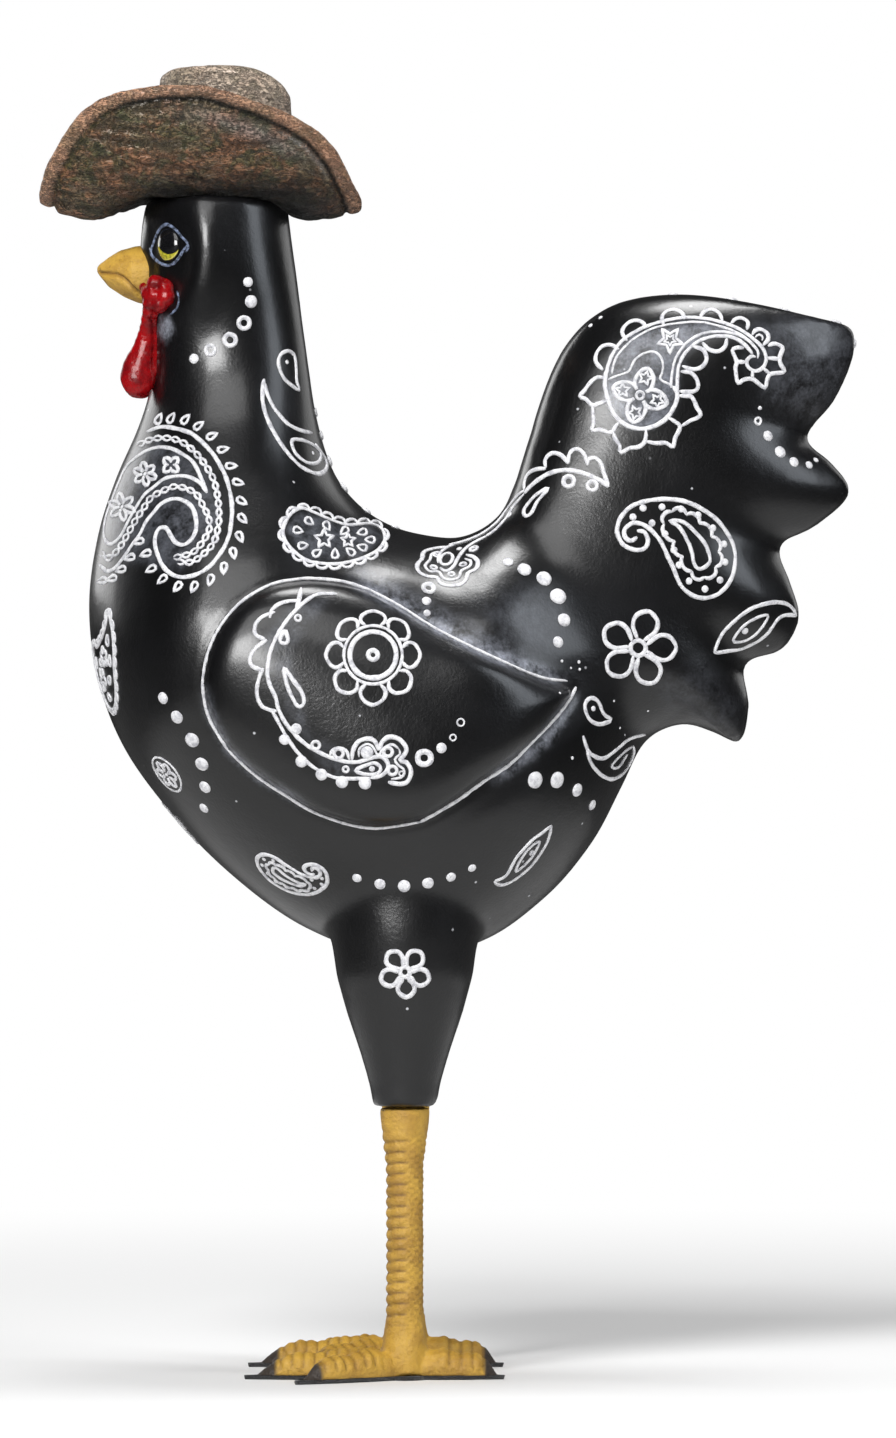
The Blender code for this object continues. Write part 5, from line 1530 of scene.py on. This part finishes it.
# Lines on the tail
# A large paisley whose tail bends over to a small flower, a curled paisley, a blossom and leaves.
ROUND_PART = [
    (606, 371), (605, 385), (608.7, 402), (615.5, 416), (626, 425), (639.4, 428.8), (653.7, 426.4),
    (666.6, 418), (675, 405), (677.3, 393.6), (673, 386.4), (666.6, 382.9), (660, 379), (662.3, 372),
    (663, 363.6), (659, 355), (652, 351.6), (643.7, 353.6), (635.5, 359.3), (631.6, 366.4), (628, 372),
    (617, 376), (608, 379.5),
]
TAIL_LINES = {
    "round part": (1.15, ROUND_PART[:11]),
    "cleft of the round part": (0.62, ROUND_PART[10:]),
    "outer edge": (0.9, [
        (606.5, 376), (608, 366), (613, 353.5), (621, 342), (632.3, 333.6), (646.6, 326.4), (665, 320.7),
        (685, 317.5), (705, 318.6), (723.7, 322.9), (739.4, 329.3), (752.3, 338), (762.3, 348), (766, 358),
        (763.7, 366.4), (756.6, 371), (748.7, 368), (746.6, 361.4), (751, 356.4), (755.5, 357),
    ]),
    "second outer edge": (0.62, [
        (612, 374), (614.5, 362), (620, 352.5), (630.5, 341.5), (645, 332), (659.4, 326.6), (676.6, 323.4),
        (696.6, 322), (713.7, 324.5), (730.9, 330), (743.7, 336.5), (753, 344.5), (758, 352.5),
        (757.5, 358.5),
    ]),
    "inner edge": (0.7, [
        (671, 388), (671.6, 376.4), (674.4, 362), (681, 349.3), (689.4, 340.7), (699.4, 335), (711, 332),
        (725, 332), (739.4, 335.5), (750.5, 342.5), (756, 350),
    ]),
    "second inner edge": (0.9, [
        (677.3, 394), (677.4, 379.3), (678.6, 366.4), (683.7, 355), (692.3, 345.5), (702.3, 339.5),
        (713.7, 336.4), (726.6, 336.2), (737.5, 339.5), (746, 346), (752.5, 354),
    ]),
    "end of the edge": (0.6, [(755, 337.5), (758.5, 334.6), (762.6, 336.6), (762, 340.5)]),
    "end flower": (1.05, [
        (743.7, 348), (736.6, 347.6), (732.3, 350.5), (734.6, 356.4), (736.6, 362), (735.5, 369), (738, 383),
        (744, 379.5), (752.3, 379), (758, 383), (765, 388), (767, 380), (770, 374), (777, 373),
        (784.5, 371.5), (781, 365), (779.4, 359), (781, 353), (782.5, 347.5), (775, 343.6), (768, 346),
    ]),
    "first vein": (1, [(736, 362), (746, 362)]),
    "second vein": (1, [(752.3, 379), (752.5, 370)]),
    "third vein": (1, [(770, 374), (763, 368)]),
    "fourth vein": (1, [(779.4, 359), (766, 358)]),
    "top of the rump leaf": (1, [
        (583, 735.7), (587, 748.6), (593, 755.7), (604, 758), (616, 750), (630, 738.8), (645, 734.6),
    ]),
    "bottom of the rump leaf": (1, [
        (587, 751), (591.4, 764), (600, 774), (610, 779), (620, 776), (628.6, 766), (634, 753), (632.9, 746),
    ]),
    "inside of the rump leaf": (0.7, [(632.9, 746), (623, 753), (611.4, 765.7), (618.6, 767), (627, 754.3)]),
}
TAIL_BUMPS = [
    [(603, 370), (596, 362), (596.6, 353.6), (602.3, 346.5), (611, 345), (618.7, 349.3)],
    [(627, 340.7), (622.3, 333.6), (624.4, 326.4), (632.3, 321), (641, 321.4), (646.6, 327.9)],
    [(664, 325), (661.6, 318.6), (665, 312.3), (673.7, 309.5), (682, 313), (684.4, 319.3)],
    [(700, 317.5), (704.4, 311.6), (712.3, 309.5), (719.4, 313.6), (722.3, 321)],
    [(731, 324), (735, 319.3), (741, 318), (748, 322), (746.6, 330)],
    [(752.3, 335), (755, 330.7), (761, 329.3), (767.3, 333.6), (768, 339.5), (763, 345.5)],
    [(702.3, 342.5), (708.7, 349.3), (718, 351.4), (725, 346.5), (726.6, 338.5)],
    [(693, 346.5), (703, 350), (706.6, 359), (702.3, 366.4), (693.7, 369.3), (682, 366)],
    [(680.5, 371.4), (691, 373), (697.3, 380.7), (697.3, 389), (691, 392), (679, 391.2)],
]
TAIL_PETALS = [
    [
        (605, 378), (597, 377.5), (590.5, 382.5), (585, 390), (580, 396.4), (586, 399.3), (591.6, 405),
        (598, 404), (606.6, 401),
    ],
    [
        (592.5, 405.5), (593, 415), (593.5, 424), (591.6, 430.5), (600, 430), (610.9, 432.5), (615, 427),
        (618, 422.5),
    ],
    [
        (613, 432), (615, 438.5), (619.5, 445.5), (620.5, 452.5), (629.4, 448.4), (639.4, 446.6), (645, 441),
        (646, 429.5),
    ],
    [
        (646.5, 441.5), (656.6, 443.4), (666, 443), (673, 447), (675, 438), (680, 427), (674, 421),
        (668.5, 418),
    ],
    [(681, 426.5), (689.4, 421.2), (700.5, 415.3), (696.6, 407.5), (693.7, 400), (690, 396), (679, 395.7)],
]
FLOWER_MIDDLE = (640, 395.3)
FLOWER_TURNS = (-73, 17, 105, 196)
FLOWER_STAR_REACH = 18
TAIL_STAR = (670, 340)
TAIL_BLOSSOM = (638, 648)
TAIL_DROP = [
    (585, 708.6), (586.6, 700.5), (593, 698), (599, 703), (603.5, 714), (611, 720), (600, 724), (590, 720),
]
TAIL_DOTS = [
    (*FLOWER_MIDDLE, 5.2, 1.8), (600.5, 317.5, 2.3), (590.5, 325.5, 2.5), (760, 408, 2.2), (768, 436, 5.6),
    (780, 452, 6.3), (794, 462, 5.4), (809, 465, 4.2), (816, 460, 3.0), (758, 421, 4.6, 1.4),
    (593.3, 708.6, 2.8), (562, 661, 1.5), (579, 662, 1.8), (571, 668, 1.2), (579.7, 669.3, 1.5),
    (560, 693, 1.4), (572.4, 758, 1.8), (614, 701, 1.2), (620, 728, 1.3), (625, 735, 1.0), (648, 711, 1.1),
    (535, 780, 8.6), (557, 780, 8.6), (577, 790, 7.0), (592, 805, 5.4),
]
ink = bmesh.new()
draw_rows(ink, TAIL_LINES)
for arch in (*TAIL_BUMPS, *TAIL_PETALS):
    draw(ink, arch, half_width=LINE * 1.05)
for turn in FLOWER_TURNS:
    a = math.radians(turn)
    px = FLOWER_MIDDLE[0] + FLOWER_STAR_REACH * math.cos(a)
    py = FLOWER_MIDDLE[1] + FLOWER_STAR_REACH * math.sin(a)
    petals(ink, *FLOWER_MIDDLE, 4.0, 28, 1, 9.5, turn)
    draw(ink, star(px, py, 7.5, turn), closed=True, sharp=True, half_width=LINE * 0.55)
for radius, share in ((13.5, 0.75), (6.5, 0.5)):
    draw(ink, star(*TAIL_STAR, radius, 90), closed=True, sharp=True, half_width=LINE * share)
curled_paisley(ink)
blossom(ink, *TAIL_BLOSSOM)
plain_leaf(ink)
draw(ink, TAIL_DROP, closed=True)
blobs(ink, TAIL_DOTS)
finish_lines("tail_lines", ink)

# The eyes
# Painted beads set in the face: black with a yellow crescent round the pupil, lighter along the crescent's
# outer edge as a painted highlight, under a clear gloss, with a thin blue-grey line for the lid.
EYE_MIDDLE = (167.5, 244.5)
EYE_SIZE = (15.5, 18.0)
EYE_BULGE = 2.0
# how much nearer to the camera than the middle plane the eye is
EYE_NEARER = 14
# middle and half sizes in photo pixels
IRIS = (166.5, 246.0, 12.5, 13.8)
PUPIL = (169.5, 240.8, 11.8, 13.2)
EYE_RIM = (*EYE_MIDDLE, 15.5, 18.5)
SEAT_DEPTH = 0.9
seat_point, seat_normal = photo.lay(*EYE_MIDDLE)
bpy.ops.mesh.primitive_uv_sphere_add(segments=96, ring_count=64, radius=1)
left_eye = bpy.context.object
left_eye.name = left_eye.data.name = "left_painted_eye"
left_eye.scale = (EYE_SIZE[0] * PIXEL * 1.05, EYE_SIZE[1] * PIXEL, EYE_BULGE * MM)
left_eye.rotation_euler = seat_normal.to_track_quat("Z", "Y").to_euler()
left_eye.location = (seat_point - seat_normal * SEAT_DEPTH) * MM
pick(left_eye)
bpy.ops.object.transform_apply(location=True, rotation=True, scale=True)
left_eye.data.shade_smooth()
places, normals = read_points(left_eye.data)


def within(ring, places):
    """How far inside an oval of photo pixels each point is, from 1 in its middle to 0 at its edge."""
    px, py, wide, high = ring
    x, z = from_photo(px, py, EYE_NEARER)
    size = PIXEL / MM
    return 1 - np.hypot((places[:, 0] - x) / (wide * size), (places[:, 2] - z) / (high * size))


iris = eased(-0.02, 0.05, within(IRIS, places)) * eased(0.03, -0.03, within(PUPIL, places))
tag(left_eye.data, "iris", iris)
# a lighter yellow painted highlight along the iris's outer edge
tag(left_eye.data, "iris_edge_highlight", iris * eased(0.16, 0.02, within(IRIS, places)))
tag(left_eye.data, "rim", eased(0.2, 0.05, within(EYE_RIM, places)))

IRIS_YELLOW = (0.55, 0.50, 0.03)
IRIS_OLIVE = (0.25, 0.24, 0.02)
IRIS_EDGE_HIGHLIGHT = (0.80, 0.72, 0.12)
EYE_BLACK = (0.004, 0.004, 0.005)
RIM_BLUE = (0.10, 0.13, 0.2)
glossy_eye = Finish("glossy painted eye", roughness=0.16, coat_weight=1.0, coat_roughness=0.03)
flecks = glossy_eye.cloudy(0.0007, 3.0).between(0.4, 0.65)
colour = glossy_eye.mix(flecks, IRIS_YELLOW, IRIS_OLIVE)
# the painted highlight on the iris's outer edge
colour = glossy_eye.mix(glossy_eye.tagged("iris_edge_highlight"), colour, IRIS_EDGE_HIGHLIGHT)
colour = glossy_eye.mix(glossy_eye.tagged("iris"), EYE_BLACK, colour)
colour = glossy_eye.mix(glossy_eye.tagged("rim") * flecks * 0.4, colour, RIM_BLUE)
glossy_eye.set(base_color=colour)
left_eye.data.materials.append(glossy_eye.material)
right_eye = mirrored(left_eye, "right_painted_eye")
for obj, node in ((left_eye, "left_eye"), (right_eye, "right_eye")):
    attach(obj, "root")
    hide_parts(node)

LID = [
    (151, 253), (154, 242), (158, 232), (163, 226), (168, 224.5), (175, 229), (182, 237), (188, 244),
    (184, 250), (178, 259), (171, 265), (163, 264.5), (156, 260),
]
LID_CORNER = [(187, 243), (189, 247), (186, 252)]
CHEEK_LINE = [(177, 291), (179, 299), (177, 308), (170, 315)]
LID_GREY = (0.20, 0.25, 0.38)
CHIPPED_GREY = (0.035, 0.045, 0.07)
ink = bmesh.new()
draw(ink, LID, closed=True, half_width=LINE * 0.8)
draw(ink, LID_CORNER, half_width=LINE * 0.7)
draw(ink, CHEEK_LINE, half_width=LINE * 0.6)
left_lid = mesh_object("left_eyelid_line", ink)
left_lid.data.shade_smooth()
blue_grey = Finish("blue grey lid paint", roughness=0.45)
chipped = blue_grey.cloudy(0.0011, 4.0, 0.6).between(0.4, 0.62)
blue_grey.set(
    base_color=blue_grey.mix(chipped, LID_GREY, CHIPPED_GREY),
    normal=blue_grey.bump(chipped, 0.0002),
)
left_lid.data.materials.append(blue_grey.material)
right_lid = mirrored(left_lid, "right_eyelid_line")
for obj in (left_lid, right_lid):
    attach(obj, "root")

# The legs
# Cast legs with three toes before and one behind, painted mustard, with rings of scales down the
# front and dark claws. A spigot at the top is glued up into the thigh.
LEG_VOXEL = 0.5
# angle from straight ahead, and length
TOES = ((0.0, 37.0), (-34.0, 30.0), (34.0, 30.0), (180.0, 23.0))
SCALE_PITCH = 2.5
SMALL_SCALE_PITCH = 1.7
TOE_BAND_PITCH = 2.6
# the toes are set down on the felt, their claws further, and none goes below it
TOE_DROP = 0.4
CLAW_DROP = 1.1
FELT_TOP = 1.03
LOW_GROOVE_BROWN = (0.11, 0.05, 0.012)
CLAW_HORN = (0.035, 0.026, 0.02)


def ridges(count):
    """Rises to 1 and falls back to 0 once for each whole number."""
    return 0.5 - 0.5 * np.cos(2 * math.pi * count)


legs = {}
for name, side in (("left", -1), ("right", 1)):
    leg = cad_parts[f"{name}_leg"].copy()
    leg.data = leg.data.copy()
    leg.data.materials.clear()
    leg.parent = None
    bpy.context.scene.collection.objects.link(leg)
    for key in [key for key in leg.keys() if key.startswith("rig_")]:
        del leg[key]
    pick(leg)
    bpy.ops.object.mode_set(mode="EDIT")
    bpy.ops.mesh.select_all(action="SELECT")
    bpy.ops.mesh.remove_doubles(threshold=0.00001)
    bpy.ops.object.mode_set(mode="OBJECT")
    leg = merged(f"{name}_scaled_leg", leg, voxel=LEG_VOXEL, smoothing=9)
    places, normals = read_points(leg.data)
    x, y, z = places.T
    from_axis = np.hypot(x - LEG_X, y - side * LEG_SPACING)
    shank = eased(10, 15, z) * eased(60, 54, z) * eased(3.0, 3.6, from_axis)
    front = eased(0.3, -0.1, normals[:, 0])
    turn = np.arctan2(y - side * LEG_SPACING, -(x - LEG_X))
    scale = ridges(z / SCALE_PITCH + 0.12 * np.cos(turn * 2))
    small = ridges(z / SMALL_SCALE_PITCH + 0.5 * np.round(turn * 3))
    lift = shank * (front * (scale**0.5 - 0.6) * 0.5 + (1 - front) * (small**0.5 - 0.6) * 0.25)
    claws = np.zeros(len(places))
    toes = np.zeros(len(places))
    for angle, length in TOES:
        ahead = (-math.cos(math.radians(angle)), side * math.sin(math.radians(angle)))
        along = (x - LEG_X) * ahead[0] + (y - side * LEG_SPACING) * ahead[1]
        across = np.abs((x - LEG_X) * ahead[1] - (y - side * LEG_SPACING) * ahead[0])
        on_toe = eased(4.6, 3.8, across) * eased(6.5, 9.5, along) * eased(12, 9, z)
        claw = on_toe * eased(length * 0.78, length * 0.82, along)
        claws = np.maximum(claws, claw)
        bands = ridges(along / TOE_BAND_PITCH)
        lift += on_toe * (1 - claw) * (bands**0.5 - 0.6) * 0.45 * eased(-0.1, 0.4, normals[:, 2])
        toes = np.maximum(toes, on_toe)
    places += normals * (lift + lumps(places, 3.0, 6.0) * 0.12)[:, None]
    places[:, 2] -= (TOE_DROP + claws * CLAW_DROP) * eased(4.5, 1.5, z)
    places[:, 2] = np.maximum(places[:, 2], FELT_TOP)
    write_points(leg.data, places)
    tag(leg.data, "claw", claws)
    # where the scales and the toe bands sink lowest, for a darker brown there
    tag(leg.data, "low", np.clip(-lift * 3.2, 0, 1) * np.maximum(shank, toes))
    leg.data.shade_smooth()
    legs[name] = leg

mustard_leg = Finish("mustard leg paint", specular_ior_level=0.45)
stained = mustard_leg.cloudy(0.006, 5.0, 0.6).between(0.35, 0.7)
pores = mustard_leg.cloudy(0.0008, 3.0)
colour = mustard_leg.mix(stained, MUSTARD, OCHRE)
# darker brown in the low grooves between the scales and the toe bands
colour = mustard_leg.mix(mustard_leg.tagged("low") * 0.8, colour, LOW_GROOVE_BROWN)
colour = mustard_leg.mix(mustard_leg.tagged("claw"), colour, CLAW_HORN)
mustard_leg.set(
    base_color=colour, roughness=0.45 + pores * 0.15, normal=mustard_leg.bump(pores + stained, 0.0003)
)
for name, leg in legs.items():
    leg.data.materials.append(mustard_leg.material)
    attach(leg, "root")
    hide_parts(f"{name}_leg")

# The foot pads
# Thin black felt cut to the foot and stuck under it, with a short nap.
FELT_BLACK = (0.010, 0.010, 0.011)
FIBRE_GREY = (0.045, 0.045, 0.048)
felt = Finish("black felt", specular_ior_level=0.2, sheen_weight=0.4, sheen_roughness=0.5)
fibres = felt.cloudy(0.0004, 4.0, 0.7, felt.stretched((1.0, 3.0, 1.0), (0, 0, 0.6)))
tufts = felt.cloudy(0.0025, 3.0)
felt.set(
    base_color=felt.mix(fibres.between(0.35, 0.7), FELT_BLACK, FIBRE_GREY),
    roughness=0.85 + tufts * 0.1,
    normal=felt.bump(fibres, 0.0005),
)
for name in ("left_foot_pad", "right_foot_pad"):
    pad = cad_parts[name]
    pad.data.materials.clear()
    pad.data.materials.append(felt.material)

# The leg rods
# Cut lengths of drawn steel rod that run up the middle of each leg and into the thigh, and hold them
# straight.
STEEL = (0.56, 0.56, 0.57)
OILED_STEEL = (0.36, 0.34, 0.32)
steel = Finish("drawn steel", metallic=1.0)
drawn = steel.cloudy(0.0005, 3.0, 0.6, steel.stretched((1.0, 1.0, 0.04)))
oiled = steel.cloudy(0.006, 3.0).between(0.4, 0.7)
steel.set(
    base_color=steel.mix(oiled, STEEL, OILED_STEEL),
    roughness=0.26 + drawn * 0.2,
    normal=steel.bump(drawn, 0.00005),
)
for name in ("left_leg_rod", "right_leg_rod"):
    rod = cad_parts[name]
    rod.data.materials.clear()
    rod.data.materials.append(steel.material)
